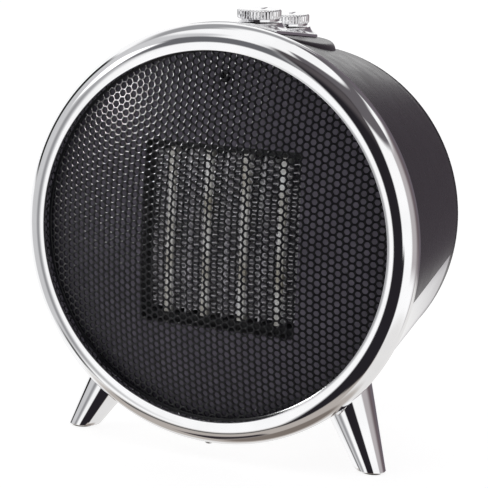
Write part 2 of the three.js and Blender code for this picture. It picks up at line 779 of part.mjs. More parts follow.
// ---- Rear cover ---------------------------------------------------------------------------------
const COVER_FRONT = SHELL_REAR + GAP;
const SPIGOT_DEPTH = 6;
const INLET_HEIGHT = -78;
const INLET_HOLE = 5.6;
const COVER_SCREW_RADIUS = 84;
const COVER_SCREW_ANGLES = [45, 135, 225, 315];
const SLOT_ROWS = 5;
const SLOT_PITCH = 11;
const SLOT_HEIGHT = 6;
const SLOT_FIELD = 66;
const SLOT_RIB = 2;

function coverScrewPlace(degrees) {
  const angle = THREE.MathUtils.degToRad(degrees);
  return [COVER_SCREW_RADIUS * Math.cos(angle), COVER_SCREW_RADIUS * Math.sin(angle)];
}

// Level intake slots in two banks beside a centre rib.
function intakeSlots() {
  const slots = [];
  for (let row = -SLOT_ROWS; row <= SLOT_ROWS; row += 1) {
    const z = row * SLOT_PITCH;
    const length = Math.sqrt(Math.max(0, SLOT_FIELD ** 2 - z ** 2)) - SLOT_RIB;
    if (length > 10) {
      [-1, 1].forEach((side) => {
        slots.push(box(length, 20, SLOT_HEIGHT, side * (SLOT_RIB + length / 2), 0, z));
      });
    }
  }
  return slots;
}

function rearCoverGeometry() {
  const radius = SHELL_REAR_RADIUS - 0.2;
  const disc = turnedSolid([[0, 0], [radius, 0], [radius, COVER_THICKNESS - 1],
    [radius - 1, COVER_THICKNESS], [0, COVER_THICKNESS]]);
  const spigotOuter = SHELL_REAR_RADIUS - SHELL_WALL - 0.8;
  const spigot = turned([
    [spigotOuter - 2, -SPIGOT_DEPTH],
    [spigotOuter, -SPIGOT_DEPTH],
    [spigotOuter, 0.5],
    [spigotOuter - 2, 0.5],
  ]);
  const inlet = new THREE.CylinderGeometry(INLET_HOLE, INLET_HOLE, 20, 20).translate(0, 0, INLET_HEIGHT);
  const screwHoles = COVER_SCREW_ANGLES.map((degrees) => {
    const [x, z] = coverScrewPlace(degrees);
    return new THREE.CylinderGeometry(2, 2, 20, 12).translate(x, 0, z);
  });
  return cut(join(disc, spigot), ...intakeSlots(), inlet, ...screwHoles);
}

addPart('rear_cover', rearCoverGeometry(), 'blackGloss', [0, COVER_FRONT, 0]);

const coverRear = COVER_FRONT + COVER_THICKNESS;
COVER_SCREW_ANGLES.forEach((degrees, i) => {
  const [x, z] = coverScrewPlace(degrees);
  const screwHead = 1.6;
  const place = [x, coverRear + GAP + screwHead, z];
  addPart(`cover_screw_${i + 1}`, screwGeometry(3.4, screwHead, 1.6, 12), 'steel', place);
});

// The cord's inlet bush: a flange outside the cover and a neck through it, with an open bore.
const inletOutline = [[3.2, -5], [5.2, -5], [5.2, 3.5], [8, 3.5], [7.4, 5.5], [3.2, 5.5]];
addPart('cord_inlet', turned(inletOutline, 16), 'rubber', [0, COVER_FRONT, INLET_HEIGHT]);

// ---- Loose items inside the drum ----------------------------------------------------------------
addPart('terminal_block', new THREE.BoxGeometry(34, 14, 14), 'whitePlastic', [-40, 104, -62]);
addPart('tip_over_switch', new THREE.BoxGeometry(22, 16, 18), 'plainPlastic', [42, 104, -62]);

// ---- Stand the heater on its feet, centred over the floor ---------------------------------------
const heater = new THREE.Group();
heater.add(drum);
drum.updateMatrixWorld(true);
const extent = new THREE.Box3().setFromObject(drum, true);
drum.position.set(0, -(extent.min.y + extent.max.y) / 2, AXIS_HEIGHT);

export default heater;
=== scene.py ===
"""Looks of the drum-shaped ceramic fan heater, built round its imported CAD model.

Lengths are in millimetres in the drum's own frame: X across, Y from the front lip to the rear, and Z
up from the drum's axis. DRUM_FRAME carries them to metres in the frame of the CAD model.
"""
import json
import math

import bmesh
import bpy
from mathutils import Matrix, Vector
from mathutils.geometry import tessellate_polygon

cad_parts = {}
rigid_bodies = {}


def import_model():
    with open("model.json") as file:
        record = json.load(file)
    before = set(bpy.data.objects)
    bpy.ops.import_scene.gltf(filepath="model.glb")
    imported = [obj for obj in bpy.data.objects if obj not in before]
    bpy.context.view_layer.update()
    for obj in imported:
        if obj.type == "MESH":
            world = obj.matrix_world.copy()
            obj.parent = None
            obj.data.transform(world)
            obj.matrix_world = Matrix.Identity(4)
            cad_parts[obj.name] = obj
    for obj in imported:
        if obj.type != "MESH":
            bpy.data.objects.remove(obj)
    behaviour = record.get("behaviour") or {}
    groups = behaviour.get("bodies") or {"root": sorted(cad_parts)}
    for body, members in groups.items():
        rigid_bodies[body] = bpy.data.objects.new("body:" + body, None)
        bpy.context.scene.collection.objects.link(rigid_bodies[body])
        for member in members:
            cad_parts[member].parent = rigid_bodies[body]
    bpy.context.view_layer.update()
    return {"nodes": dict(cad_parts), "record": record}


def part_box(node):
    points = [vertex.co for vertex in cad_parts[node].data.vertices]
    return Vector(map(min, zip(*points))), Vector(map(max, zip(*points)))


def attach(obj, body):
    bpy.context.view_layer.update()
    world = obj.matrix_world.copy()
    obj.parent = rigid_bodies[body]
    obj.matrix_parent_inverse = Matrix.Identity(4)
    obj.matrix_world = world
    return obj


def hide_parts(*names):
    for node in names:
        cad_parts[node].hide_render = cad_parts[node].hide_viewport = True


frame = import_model()

BEZEL_LOW, BEZEL_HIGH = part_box("front_bezel")
LIP_CENTRE = Vector((0, BEZEL_LOW.y, (BEZEL_LOW.z + BEZEL_HIGH.z) / 2))
MM = 0.001
DRUM_FRAME = Matrix.Translation(LIP_CENTRE) @ Matrix.Scale(MM, 4)
HOUSING = "housing"
TURN = 2 * math.pi


# ---- Camera --------------------------------------------------
CAMERA_AZIMUTH = math.radians(23.325)
CAMERA_ELEVATION = math.radians(10.347)
CAMERA_ROLL = math.radians(2.48)
CAMERA_DISTANCE = 1.0524
CAMERA_SHIFT_RIGHT = 0.01838
CAMERA_SHIFT_DOWN = 0.00267
CAMERA_LENS = 145.92
SENSOR_WIDTH = 36


def build_camera():
    """A long lens in front of the heater, a little above it and to its +X side."""
    level = math.cos(CAMERA_ELEVATION)
    forward = Vector((
        -math.sin(CAMERA_AZIMUTH) * level,
        math.cos(CAMERA_AZIMUTH) * level,
        -math.sin(CAMERA_ELEVATION),
    ))
    level_right = Vector((math.cos(CAMERA_AZIMUTH), math.sin(CAMERA_AZIMUTH), 0))
    level_down = forward.cross(level_right)
    right = math.cos(CAMERA_ROLL) * level_right - math.sin(CAMERA_ROLL) * level_down
    down = math.sin(CAMERA_ROLL) * level_right + math.cos(CAMERA_ROLL) * level_down
    place = LIP_CENTRE - CAMERA_DISTANCE * forward
    place += CAMERA_SHIFT_RIGHT * right + CAMERA_SHIFT_DOWN * down
    data = bpy.data.cameras.new("camera")
    data.sensor_width = SENSOR_WIDTH
    data.lens = CAMERA_LENS
    camera = bpy.data.objects.new("camera", data)
    turn = Matrix((right, -down, -forward)).transposed().to_4x4()
    camera.matrix_world = Matrix.Translation(place) @ turn
    bpy.context.scene.collection.objects.link(camera)
    bpy.context.scene.camera = camera


# ---- Materials -----------------------------------------------
NOISE_LOW = 0.3
NOISE_HIGH = 0.7
PATCH_DETAIL = 3
GRAIN_DETAIL = 2
# The places of a colour Mix node's sockets, several of which share a name
MIX_FACTOR = 0
MIX_FIRST = 6
MIX_SECOND = 7
MIX_RESULT = 2
FINISHES = {}


def noise(tree, size, detail, stretch):
    """The output of a noise texture of that size in mm, in object coordinates."""
    coordinates = tree.nodes.new("ShaderNodeTexCoord")
    mapping = tree.nodes.new("ShaderNodeMapping")
    mapping.inputs["Scale"].default_value = stretch
    texture = tree.nodes.new("ShaderNodeTexNoise")
    texture.inputs["Scale"].default_value = 1 / (size * MM)
    texture.inputs["Detail"].default_value = detail
    tree.links.new(coordinates.outputs["Object"], mapping.inputs["Vector"])
    tree.links.new(mapping.outputs["Vector"], texture.inputs["Vector"])
    return texture.outputs["Fac"]


def between(tree, factor, low, high):
    """A noise factor, which seldom leaves its middle range, carried to the range from low to high."""
    ramp = tree.nodes.new("ShaderNodeMapRange")
    ramp.inputs["From Min"].default_value = NOISE_LOW
    ramp.inputs["From Max"].default_value = NOISE_HIGH
    ramp.inputs["To Min"].default_value = low
    ramp.inputs["To Max"].default_value = high
    tree.links.new(factor, ramp.inputs["Value"])
    return ramp.outputs["Result"]


def finish(name, dark, light, roughness, patch, grain, bump, stretch=(1, 1, 1), **constants):
    """A Principled material, kept by name. Its colour runs from dark to light over patches of that
    size in mm, its roughness over the same patches, and its surface rises by bump over its grains.
    The constants are further inputs of the shader, with _ for the spaces in their names."""
    material = bpy.data.materials.new(name)
    material.use_nodes = True
    tree = material.node_tree
    shader = tree.nodes["Principled BSDF"]
    patches = noise(tree, patch, PATCH_DETAIL, stretch)
    mix = tree.nodes.new("ShaderNodeMix")
    mix.data_type = "RGBA"
    mix.inputs[MIX_FIRST].default_value = (*dark, 1)
    mix.inputs[MIX_SECOND].default_value = (*light, 1)
    tree.links.new(between(tree, patches, 0, 1), mix.inputs[MIX_FACTOR])
    tree.links.new(mix.outputs[MIX_RESULT], shader.inputs["Base Color"])
    tree.links.new(between(tree, patches, *roughness), shader.inputs["Roughness"])
    relief = tree.nodes.new("ShaderNodeBump")
    relief.inputs["Strength"].default_value = 1
    relief.inputs["Distance"].default_value = bump * MM
    tree.links.new(noise(tree, grain, GRAIN_DETAIL, stretch), relief.inputs["Height"])
    tree.links.new(relief.outputs["Normal"], shader.inputs["Normal"])
    for socket, value in constants.items():
        shader.inputs[socket.replace("_", " ")].default_value = value
    FINISHES[name] = material


finish(
    "chrome", (0.86, 0.86, 0.87), (0.93, 0.93, 0.94), (0.03, 0.07),
    patch=30, grain=9, bump=0.004, Metallic=1,
)
finish(
    "black_gloss", (0.012, 0.01, 0.013), (0.017, 0.014, 0.018), (0.24, 0.3),
    patch=12, grain=0.7, bump=0.0012, Specular_IOR_Level=0.3,
)
finish(
    "black_metal", (0.003, 0.003, 0.004), (0.006, 0.006, 0.007), (0.12, 0.18),
    patch=6, grain=1.5, bump=0.003, Specular_IOR_Level=0.3,
)
finish(
    "dark_plate", (0.15, 0.132, 0.176), (0.22, 0.198, 0.25), (0.42, 0.55),
    patch=9, grain=0.8, bump=0.006,
)
finish(
    "aluminium", (0.68, 0.66, 0.7), (0.9, 0.88, 0.92), (0.28, 0.42),
    patch=3, grain=0.8, bump=0.01, stretch=(1, 0.15, 1), Metallic=0.4,
)
finish(
    "ceramic", (0.36, 0.33, 0.27), (0.86, 0.86, 0.87), (0.5, 0.7),
    patch=11, grain=0.5, bump=0.03, stretch=(1, 1, 0.6),
)
finish(
    "steel", (0.5, 0.5, 0.51), (0.66, 0.66, 0.66), (0.28, 0.42),
    patch=4, grain=1, bump=0.006, stretch=(1, 0.3, 1), Metallic=1,
)
finish(
    "brass", (0.62, 0.42, 0.16), (0.78, 0.58, 0.28), (0.25, 0.4),
    patch=3, grain=0.8, bump=0.005, Metallic=1,
)
finish(
    "plain_plastic", (0.03, 0.03, 0.032), (0.045, 0.045, 0.047), (0.5, 0.62),
    patch=7, grain=0.5, bump=0.01,
)
finish(
    "white_plastic", (0.72, 0.71, 0.66), (0.82, 0.81, 0.77), (0.4, 0.5),
    patch=7, grain=0.6, bump=0.006,
)
finish(
    "rubber", (0.016, 0.016, 0.016), (0.028, 0.028, 0.028), (0.7, 0.85),
    patch=4, grain=0.4, bump=0.015,
)


# ---- Mesh helpers --------------------------------------------
SHARP_ANGLE = math.radians(38)
RIB_SHARP_ANGLE = math.radians(60)
MERGE_DISTANCE = 1e-6
CORNER_SHARE = 0.48
SHARPEST_TURN = 0.4


def piece(name, points, faces, slot, node, body=HOUSING, sharp=SHARP_ANGLE):
    """A closed mesh that rides on a body in place of a CAD node."""
    mesh = bpy.data.meshes.new(name)
    mesh.from_pydata([DRUM_FRAME @ Vector(point) for point in points], [], faces)
    work = bmesh.new()
    work.from_mesh(mesh)
    bmesh.ops.remove_doubles(work, verts=work.verts, dist=MERGE_DISTANCE)
    bmesh.ops.recalc_face_normals(work, faces=work.faces)
    work.to_mesh(mesh)
    work.free()
    mesh.shade_smooth()
    mesh.set_sharp_from_angle(angle=sharp)
    mesh.materials.append(FINISHES[slot])
    thing = bpy.data.objects.new(name, mesh)
    bpy.context.scene.collection.objects.link(thing)
    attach(thing, body)
    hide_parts(node)


def joined(*solids):
    """Several (points, faces) pairs as one."""
    points = []
    faces = []
    for more_points, more_faces in solids:
        start = len(points)
        points.extend(more_points)
        faces.extend([tuple(start + index for index in face) for face in more_faces])
    return points, faces


def moved(solid, place):
    """A (points, faces) pair carried by a matrix."""
    points, faces = solid
    return [tuple(place @ Vector(point)) for point in points], faces


def rounded(corners, radius, steps):
    """A closed outline with every corner rounded off, within its share of the edges beside it."""
    count = len(corners)
    outline = []
    for i, corner in enumerate(corners):
        here = Vector(corner)
        before = Vector(corners[i - 1]) - here
        after = Vector(corners[(i + 1) % count]) - here
        reach = min(radius, CORNER_SHARE * before.length, CORNER_SHARE * after.length)
        for k in range(steps + 1):
            share = k / steps
            coming = here + before.normalized() * reach * (1 - share)
            going = here + after.normalized() * reach * share
            outline.append(tuple(coming.lerp(going, share)))
    return outline


def bridge(rings, closed_rings=True, closed_stack=False):
    """Points and faces of a stack of rings with the same number of points each."""
    size = len(rings[0])
    points = [point for ring in rings for point in ring]
    faces = []
    for i in range(len(rings) - (0 if closed_stack else 1)):
        low = i * size
        high = ((i + 1) % len(rings)) * size
        for k in range(size if closed_rings else size - 1):
            after = (k + 1) % size
            faces.append((low + k, low + after, high + after, high + k))
    return points, faces


def capped(rings):
    """A stack of rings with a flat face at each end."""
    points, faces = bridge(rings)
    size = len(rings[0])
    faces.append(tuple(range(size)))
    faces.append(tuple(range(len(points) - size, len(points))))
    return points, faces


def lathe(outline, segments):
    """A closed outline of (radius, y) points turned about the Y axis."""
    rings = []
    for i in range(segments):
        angle = TURN * i / segments
        rings.append([(r * math.cos(angle), y, r * math.sin(angle)) for r, y in outline])
    return bridge(rings, closed_stack=True)


def circle(radius, count, z=0):
    """A counterclockwise circle of (x, z) points."""
    angles = [TURN * i / count for i in range(count)]
    return [(radius * math.cos(angle), z + radius * math.sin(angle)) for angle in angles]


def rectangle(left, right, bottom, top):
    """A counterclockwise rectangle."""
    return [(left, bottom), (right, bottom), (right, top), (left, top)]


def shifted(loop, amount):
    """A closed loop moved to the left of its own direction by an amount, a bit more at corners."""
    count = len(loop)
    result = []
    for i, point in enumerate(loop):
        before = (Vector(point) - Vector(loop[i - 1])).normalized()
        after = (Vector(loop[(i + 1) % count]) - Vector(point)).normalized()
        left = Vector((-before.y - after.y, before.x + after.x)).normalized()
        stretch = max(SHARPEST_TURN, left.dot(Vector((-before.y, before.x))))
        result.append(tuple(Vector(point) + left * amount / stretch))
    return result


def plate(outline, holes, front, rear, bevel):
    """A flat plate with holes and bevelled edges, from counterclockwise (x, z) loops."""
    loops = [outline] + [hole[::-1] for hole in holes]
    sides = []
    for loop in loops:
        small = shifted(loop, bevel)
        sides.append(bridge([
            [(x, front, z) for x, z in small],
            [(x, front + bevel, z) for x, z in loop],
            [(x, rear - bevel, z) for x, z in loop],
            [(x, rear, z) for x, z in small],
        ]))
    small_loops = [shifted(loop, bevel) for loop in loops]
    triangles = tessellate_polygon([[Vector((x, z, 0)) for x, z in loop] for loop in small_loops])
    flat = [point for loop in small_loops for point in loop]
    caps = [([(x, y, z) for x, z in flat], [tuple(t) for t in triangles]) for y in (front, rear)]
    return joined(*sides, *caps)


def turned_to(direction):
    """The turn that carries +Y onto a direction."""
    return Vector((0, 1, 0)).rotation_difference(Vector(direction)).to_matrix().to_4x4()


def cross_screw(radius, height):
    """A screw head that faces +Y, with its seat at y = 0 and a cross recess."""
    arm = 0.62 * radius
    half = 0.15 * radius
    cross = [
        (half, half), (half, arm), (-half, arm), (-half, half), (-arm, half), (-arm, -half),
        (-half, -half), (-half, -arm), (half, -arm), (half, -half), (arm, -half), (arm, half),
    ]
    cap = plate(circle(radius * 0.82, count=32), [rounded(cross, 0.08 * radius, 2)],
                height * 0.55, height, 0.04 * radius)
    skirt = lathe(rounded([
        (radius * 0.1, 0),
        (radius, 0),
        (radius, height * 0.45),
        (radius * 0.86, height * 0.93),
        (radius * 0.78, height * 0.93),
        (radius * 0.78, height * 0.4),
        (radius * 0.1, height * 0.4),
    ], radius * 0.12, 3), 32)
    floor = plate(circle(radius * 0.8, count=24), [], height * 0.3, height * 0.45, 0.02 * radius)
    return joined(cap, skirt, floor)


def build_screw(node, radius, height, seat, direction, slot):
    """A screw head on its seat, facing a direction, in place of a CAD node."""
    place = Matrix.Translation(seat) @ turned_to(direction)
    piece(f"{node}_head", *moved(cross_screw(radius, height), place), slot, node)


# ---- Front bezel ---------------------------------------------
OPENING_RADIUS = 100
LIP_WIDTH = 2.8
BEZEL_RADIUS = 114.2
BEZEL_DEPTH = 12.1
ROLL_DEPTH = 10.2
BEZEL_SKIN = 1.8
BEZEL_INNER_REAR = 4.5
RING_SEGMENTS = 256
SCREW_SINK = 0.3
BEZEL_SCREW_RADIUS = 2.2
BEZEL_SCREW_HEIGHT = 0.9
BEZEL_SCREW_SETBACK = 10


def rolled_edge(inset, steps):
    """Quarter of an ellipse from the lip round to the outer band."""
    across = BEZEL_RADIUS - OPENING_RADIUS - LIP_WIDTH - inset
    along = ROLL_DEPTH - inset
    points = []
    for i in range(steps + 1):
        angle = TURN / 4 * i / steps
        radius = BEZEL_RADIUS - inset - across * (1 - math.sin(angle))
        points.append((radius, ROLL_DEPTH - along * math.cos(angle)))
    return points


def build_bezel():
    """One rolled ring with a flat lip, and the small screw at its bottom."""
    outline = [
        (OPENING_RADIUS, BEZEL_INNER_REAR),
        (OPENING_RADIUS, 0.5),
        (OPENING_RADIUS + 0.15, 0.15),
        (OPENING_RADIUS + 0.5, 0),
        (OPENING_RADIUS + LIP_WIDTH - 0.15, 0),
        *rolled_edge(0, steps=32),
        (BEZEL_RADIUS, BEZEL_DEPTH - 0.4),
        (BEZEL_RADIUS - 0.4, BEZEL_DEPTH),
        (BEZEL_RADIUS - BEZEL_SKIN, BEZEL_DEPTH),
        *rolled_edge(BEZEL_SKIN, steps=10)[::-1],
        (OPENING_RADIUS + BEZEL_SKIN, BEZEL_INNER_REAR),
    ]
    piece("front_bezel_ring", *lathe(outline, RING_SEGMENTS), "chrome", "front_bezel")
    seat = (0, BEZEL_SCREW_SETBACK, SCREW_SINK - BEZEL_RADIUS)
    build_screw("bezel_screw", BEZEL_SCREW_RADIUS, BEZEL_SCREW_HEIGHT, seat, (0, 0, -1), "steel")


# ---- Front grille: a shallow dome of open honeycomb ----------
GRILLE_BACK_SET = 5.2
GRILLE_THICKNESS = 1.0
GRILLE_RISE = 14.85
GRILLE_DOME_RADIUS = 97
GRILLE_RADIUS = 104.5
CELL_PITCH = 4.06
RIB_WIDTH = 0.95
RIB_BEVEL = 0.14
CELL_SIDES = 12
CELL_FIELD = 100
RIM_INNER = 99
RIM_FLARE = 1.5
RIM_MARGIN = 0.2
RIM_EDGE = 0.4
RIM_SEGMENTS = 192
CLAMP_INNER = 101.6
CLAMP_OUTER = 106
CLAMP_FRONT = 6.7
CLAMP_REAR = 9
CLAMP_EDGE = 0.6
CLAMP_SEGMENTS = 128


def dome_y(x, z):
    """How far back the dome's front face lies at a place."""
    share = math.hypot(x, z) / GRILLE_DOME_RADIUS
    return GRILLE_BACK_SET - GRILLE_RISE * (1 - share * share)


def cell_outline(roundness, reach):
    """Offsets of a hexagon's corners and edge middles, pulled towards a circle by roundness."""
    outline = []
    corner_reach = 1 / math.cos(TURN / CELL_SIDES)
    for i in range(CELL_SIDES):
        angle = TURN * i / CELL_SIDES
        sharp = corner_reach if i % 2 == 0 else 1
        radius = reach * (sharp + (1 - sharp) * roundness)
        outline.append((radius * math.cos(angle), radius * math.sin(angle)))
    return outline


def build_grille():
    """Each cell is a ring of ribs with flat tops; neighbouring cells share their outer points."""
    border = cell_outline(0, CELL_PITCH / 2)
    flat = cell_outline(0.5, (CELL_PITCH - RIB_WIDTH) / 2 + RIB_BEVEL)
    hole = cell_outline(0.5, (CELL_PITCH - RIB_WIDTH) / 2)
    profile = (
        (border, 0), (flat, 0), (hole, RIB_BEVEL), (hole, GRILLE_THICKNESS), (border, GRILLE_THICKNESS),
    )
    column_step = CELL_PITCH * math.sqrt(3) / 2
    columns = int(CELL_FIELD / column_step)
    rows = int(CELL_FIELD / CELL_PITCH) + 1
    halves = {"upper": [], "lower": []}
    for column in range(-columns, columns + 1):
        x = column * column_step
        shift = CELL_PITCH / 2 if column % 2 else 0
        for row in range(-rows, rows + 1):
            z = row * CELL_PITCH + shift
            if math.hypot(x, z) < CELL_FIELD:
                rings = [
                    [(x + dx, dome_y(x + dx, z + dz) + lift, z + dz) for dx, dz in loop]
                    for loop, lift in profile
                ]
                halves["upper" if row >= 0 else "lower"].append(bridge(rings))
    for half, cells in halves.items():
        name = f"front_grille_{half}_honeycomb"
        piece(name, *joined(*cells), "black_metal", "front_grille", sharp=RIB_SHARP_ANGLE)


def build_grille_rim():
    """The plain edge of the grille's sheet, and the ring that clamps it from behind."""
    front = dome_y(RIM_INNER, 0)
    rim = rounded([
        (RIM_INNER, front - RIM_MARGIN),
        (RIM_INNER + RIM_FLARE, GRILLE_BACK_SET - RIM_MARGIN),
        (GRILLE_RADIUS, GRILLE_BACK_SET - RIM_MARGIN),
        (GRILLE_RADIUS, GRILLE_BACK_SET + GRILLE_THICKNESS + RIM_MARGIN),
        (RIM_INNER + RIM_FLARE, GRILLE_BACK_SET + GRILLE_THICKNESS + RIM_MARGIN),
        (RIM_INNER, front + GRILLE_THICKNESS + RIM_MARGIN),
    ], RIM_EDGE, 3)
    piece("front_grille_rim", *lathe(rim, RIM_SEGMENTS), "black_metal", "front_grille")
    clamp = rounded(rectangle(CLAMP_INNER, CLAMP_OUTER, CLAMP_FRONT, CLAMP_REAR), CLAMP_EDGE, 3)
    solid = lathe(clamp, CLAMP_SEGMENTS)
    piece("grille_clamp_ring", *solid, "plain_plastic", "grille_retaining_ring")


# ---- Front plate with its window -----------------------------
PLATE_FRONT = 12
PLATE_REAR = 13.6
PLATE_RADIUS = 107
PLATE_BEVEL = 0.3
PLATE_SEGMENTS = 160
WINDOW = rectangle(-46, 46, -51.7, 48.9)
WINDOW_CORNER = 1.2
PLATE_SCREW_LEVEL = 86
PLATE_SCREW_RADIUS = 3.4
PLATE_SCREW_HEIGHT = 1.6


def build_front_plate():
    """The plate behind the grille, with its tall window and the dark screw above it."""
    window = rounded(WINDOW, WINDOW_CORNER, 4)
    edge = circle(PLATE_RADIUS, count=PLATE_SEGMENTS)
    body = plate(edge, [window], PLATE_FRONT, PLATE_REAR, PLATE_BEVEL)
    piece("front_plate_panel", *body, "dark_plate", "front_plate")
    seat = (0, PLATE_FRONT - SCREW_SINK, PLATE_SCREW_LEVEL)
    facing = (0, -1, 0)
    build_screw("plate_screw", PLATE_SCREW_RADIUS, PLATE_SCREW_HEIGHT, seat, facing, "black_metal")


# ---- Heating core --------------------------------------------
BAR_PITCH = 21.9
BAR_WIDTH = 4
BAR_LINES = (-1.5, -0.5, 0.5, 1.5)
BAR_EDGE = 0.5
BAR_STEPS = 96
CORE_FRONT = 20
CORE_REAR = 35
CORE_BOTTOM = -47.1
CORE_TOP = 44.3
FIN_WIDTH = 7.85
FIN_OFFSET = 4.7
FIN_RUN_PITCH = 2.25
FIN_THICKNESS = 0.32
FIN_WAVE = 0.16
FIN_SETBACK = 0.5
FIN_END_MARGIN = 1
FIN_LINES = (-2, -1, -1, 0, 0, 1, 1, 2)
RUN_STEPS = 8
BEND_STEPS = 6
STONE_PITCH = 7.6
PINCH_DEPTH = 0.22
PINCH_LENGTH = 0.5


def build_bars():
    """Pale stones in a thin sleeve that is pinched a little between one stone and the next."""
    for i, line in enumerate(BAR_LINES):
        rings = []
        for k in range(BAR_STEPS + 1):
            z = CORE_BOTTOM + (CORE_TOP - CORE_BOTTOM) * k / BAR_STEPS
            from_joint = z % STONE_PITCH - STONE_PITCH / 2
            pinch = PINCH_DEPTH * math.exp(-(from_joint / PINCH_LENGTH) ** 2)
            half = BAR_WIDTH / 2 - pinch
            section = rounded(rectangle(-half, half, CORE_FRONT + pinch, CORE_REAR - pinch), BAR_EDGE, 3)
            rings.append([(line * BAR_PITCH + x, y, z) for x, y in section])
        name = f"heating_bar_{i + 1}"
        piece(f"{name}_stones", *capped(rings), "ceramic", name)


def fin_path():
    """Centre line of a folded strip as (x, z) points, folding from side to side as it climbs."""
    bend = FIN_RUN_PITCH / 2
    half = (FIN_WIDTH - FIN_THICKNESS) / 2
    runs = int((CORE_TOP - CORE_BOTTOM - 2 * FIN_END_MARGIN) / FIN_RUN_PITCH)
    start = (CORE_TOP + CORE_BOTTOM - (runs - 1) * FIN_RUN_PITCH) / 2
    path = []
    for run in range(runs):
        side = 1 if run % 2 == 0 else -1
        z = start + run * FIN_RUN_PITCH
        for k in range(RUN_STEPS + 1):
            share = 2 * k / RUN_STEPS - 1
            path.append((side * share * (half - bend), z + FIN_WAVE * math.sin(share * math.pi)))
        if run < runs - 1:
            for k in range(1, BEND_STEPS):
                angle = -TURN / 4 + TURN / 2 * k / BEND_STEPS
                path.append((
                    side * (half - bend + bend * math.cos(angle)),
                    z + bend + bend * math.sin(angle),
                ))
    return path


def build_fins():
    """The folded strip, repeated on both sides of every bar, beside the lines between the bars."""
    front = CORE_FRONT + FIN_SETBACK
    rear = CORE_REAR - FIN_SETBACK
    path = fin_path()
    rings = []
    for i, point in enumerate(path):
        along = Vector(path[min(i + 1, len(path) - 1)]) - Vector(path[max(i - 1, 0)])
        across = Vector((-along.y, along.x)).normalized() * FIN_THICKNESS / 2
        rings.append([
            (point[0] + across.x, front, point[1] + across.y),
            (point[0] + across.x, rear, point[1] + across.y),
            (point[0] - across.x, rear, point[1] - across.y),
            (point[0] - across.x, front, point[1] - across.y),
        ])
    strip = capped(rings)
    for i, line in enumerate(FIN_LINES):
        side = 1 if i % 2 == 0 else -1
        shift = Matrix.Translation((line * BAR_PITCH + side * FIN_OFFSET, 0, 0))
        name = f"fin_strip_{i + 1}"
        piece(f"{name}_folds", *moved(strip, shift), "aluminium", name)


# ---- Drum shell ----------------------------------------------
SHELL_FRONT = 8
SHELL_SHOULDER = 16
SHELL_REAR = 130
SHELL_NECK_RADIUS = 109.5
SHELL_FRONT_RADIUS = 112.3
SHELL_REAR_RADIUS = 96
SHELL_WALL = 2.2
SHELL_ROWS = range(20, 126, 6)
UPPER_SHELL_COLUMNS = 150
LOWER_SHELL_COLUMNS = 110
SEAM_HEIGHT_AT_FRONT = -27
SEAM_SLOPE = 0.085
GAP = 0.3
TAPER = (SHELL_REAR_RADIUS - SHELL_FRONT_RADIUS) / (SHELL_REAR - SHELL_SHOULDER)


def shell_radius(y):
    """The drum's radius behind its shoulder."""
    return SHELL_FRONT_RADIUS + TAPER * (y - SHELL_SHOULDER)


def shell_outline():
    """The shell's wall as (radius, y) points: a neck inside the bezel, a shoulder, and the taper."""
    wall = SHELL_WALL
    corners = [
        (SHELL_NECK_RADIUS - wall, SHELL_FRONT),
        (SHELL_NECK_RADIUS, SHELL_FRONT),
        (SHELL_NECK_RADIUS, SHELL_SHOULDER - 0.6),
        (SHELL_FRONT_RADIUS - 0.5, SHELL_SHOULDER - 0.3),
        (SHELL_FRONT_RADIUS, SHELL_SHOULDER + 0.2),
    ]
    corners += [(shell_radius(y), y) for y in SHELL_ROWS]
    corners += [
        (SHELL_REAR_RADIUS + 0.1, SHELL_REAR - 0.6),
        (SHELL_REAR_RADIUS - 0.5, SHELL_REAR),
        (SHELL_REAR_RADIUS - wall, SHELL_REAR),
        (SHELL_FRONT_RADIUS - wall, SHELL_SHOULDER + 0.8),
        (SHELL_NECK_RADIUS - wall, SHELL_SHOULDER + 0.4),
    ]
    return corners


def half_shell(upper, columns):
    """The shell's outline turned from one side of the seam plane to the other."""
    side = 1 if upper else -1
    sections = []
    for k in range(columns + 1):
        section = []
        for radius, y in shell_outline():
            seam = SEAM_HEIGHT_AT_FRONT + SEAM_SLOPE * y + side * GAP / 2
            start = math.asin(seam / radius)
            sweep = side * (TURN / 2 - side * 2 * start) * k / columns
            section.append((radius * math.cos(start + sweep), y, radius * math.sin(start + sweep)))
        sections.append(section)
    return capped(sections)


HUMP_HALF_WIDTH = 35
HUMP_HALF_LENGTH = 70
HUMP_CENTRE = 58
HUMP_FRONT = 16.3
HUMP_START_HEIGHT = 0.6
HUMP_CLIMB = 0.038
HUMP_EDGE = 0.07
HUMP_EDGE_STEPS = 8
HUMP_SHARES = (0.86, 0.75, 0.6, 0.45, 0.3, 0.15, 0)
HUMP_COLUMNS = 180
HUMP_SINK = 0.3
HUMP_SKIRT = 1.5
HUMP_INSIDE_HEIGHT = 95


def hump_height(y):
    """How far the hump's top stands above the taper."""
    return HUMP_START_HEIGHT + HUMP_CLIMB * (y - SHELL_SHOULDER)


def hump_point(share, angle):
    """A point of the hump at a share of the way from its middle to its edge."""
    x = HUMP_HALF_WIDTH * share * math.cos(angle)
    y = max(HUMP_FRONT, HUMP_CENTRE + HUMP_HALF_LENGTH * share * math.sin(angle))
    edge = min(1, (1 - share) / HUMP_EDGE)
    rise = math.sqrt(max(0, 1 - (1 - edge) ** 2))
    radius = shell_radius(y) - HUMP_SINK + (hump_height(y) + HUMP_SINK) * rise
    return x, y, math.sqrt(radius ** 2 - x ** 2)


def build_shell():
    """Black above the seam, chrome below it."""
    upper = half_shell(upper=True, columns=UPPER_SHELL_COLUMNS)
    piece("upper_shell_skin", *upper, "black_gloss", "upper_shell")
    lower = half_shell(upper=False, columns=LOWER_SHELL_COLUMNS)
    piece("lower_shell_skin", *lower, "chrome", "lower_shell")


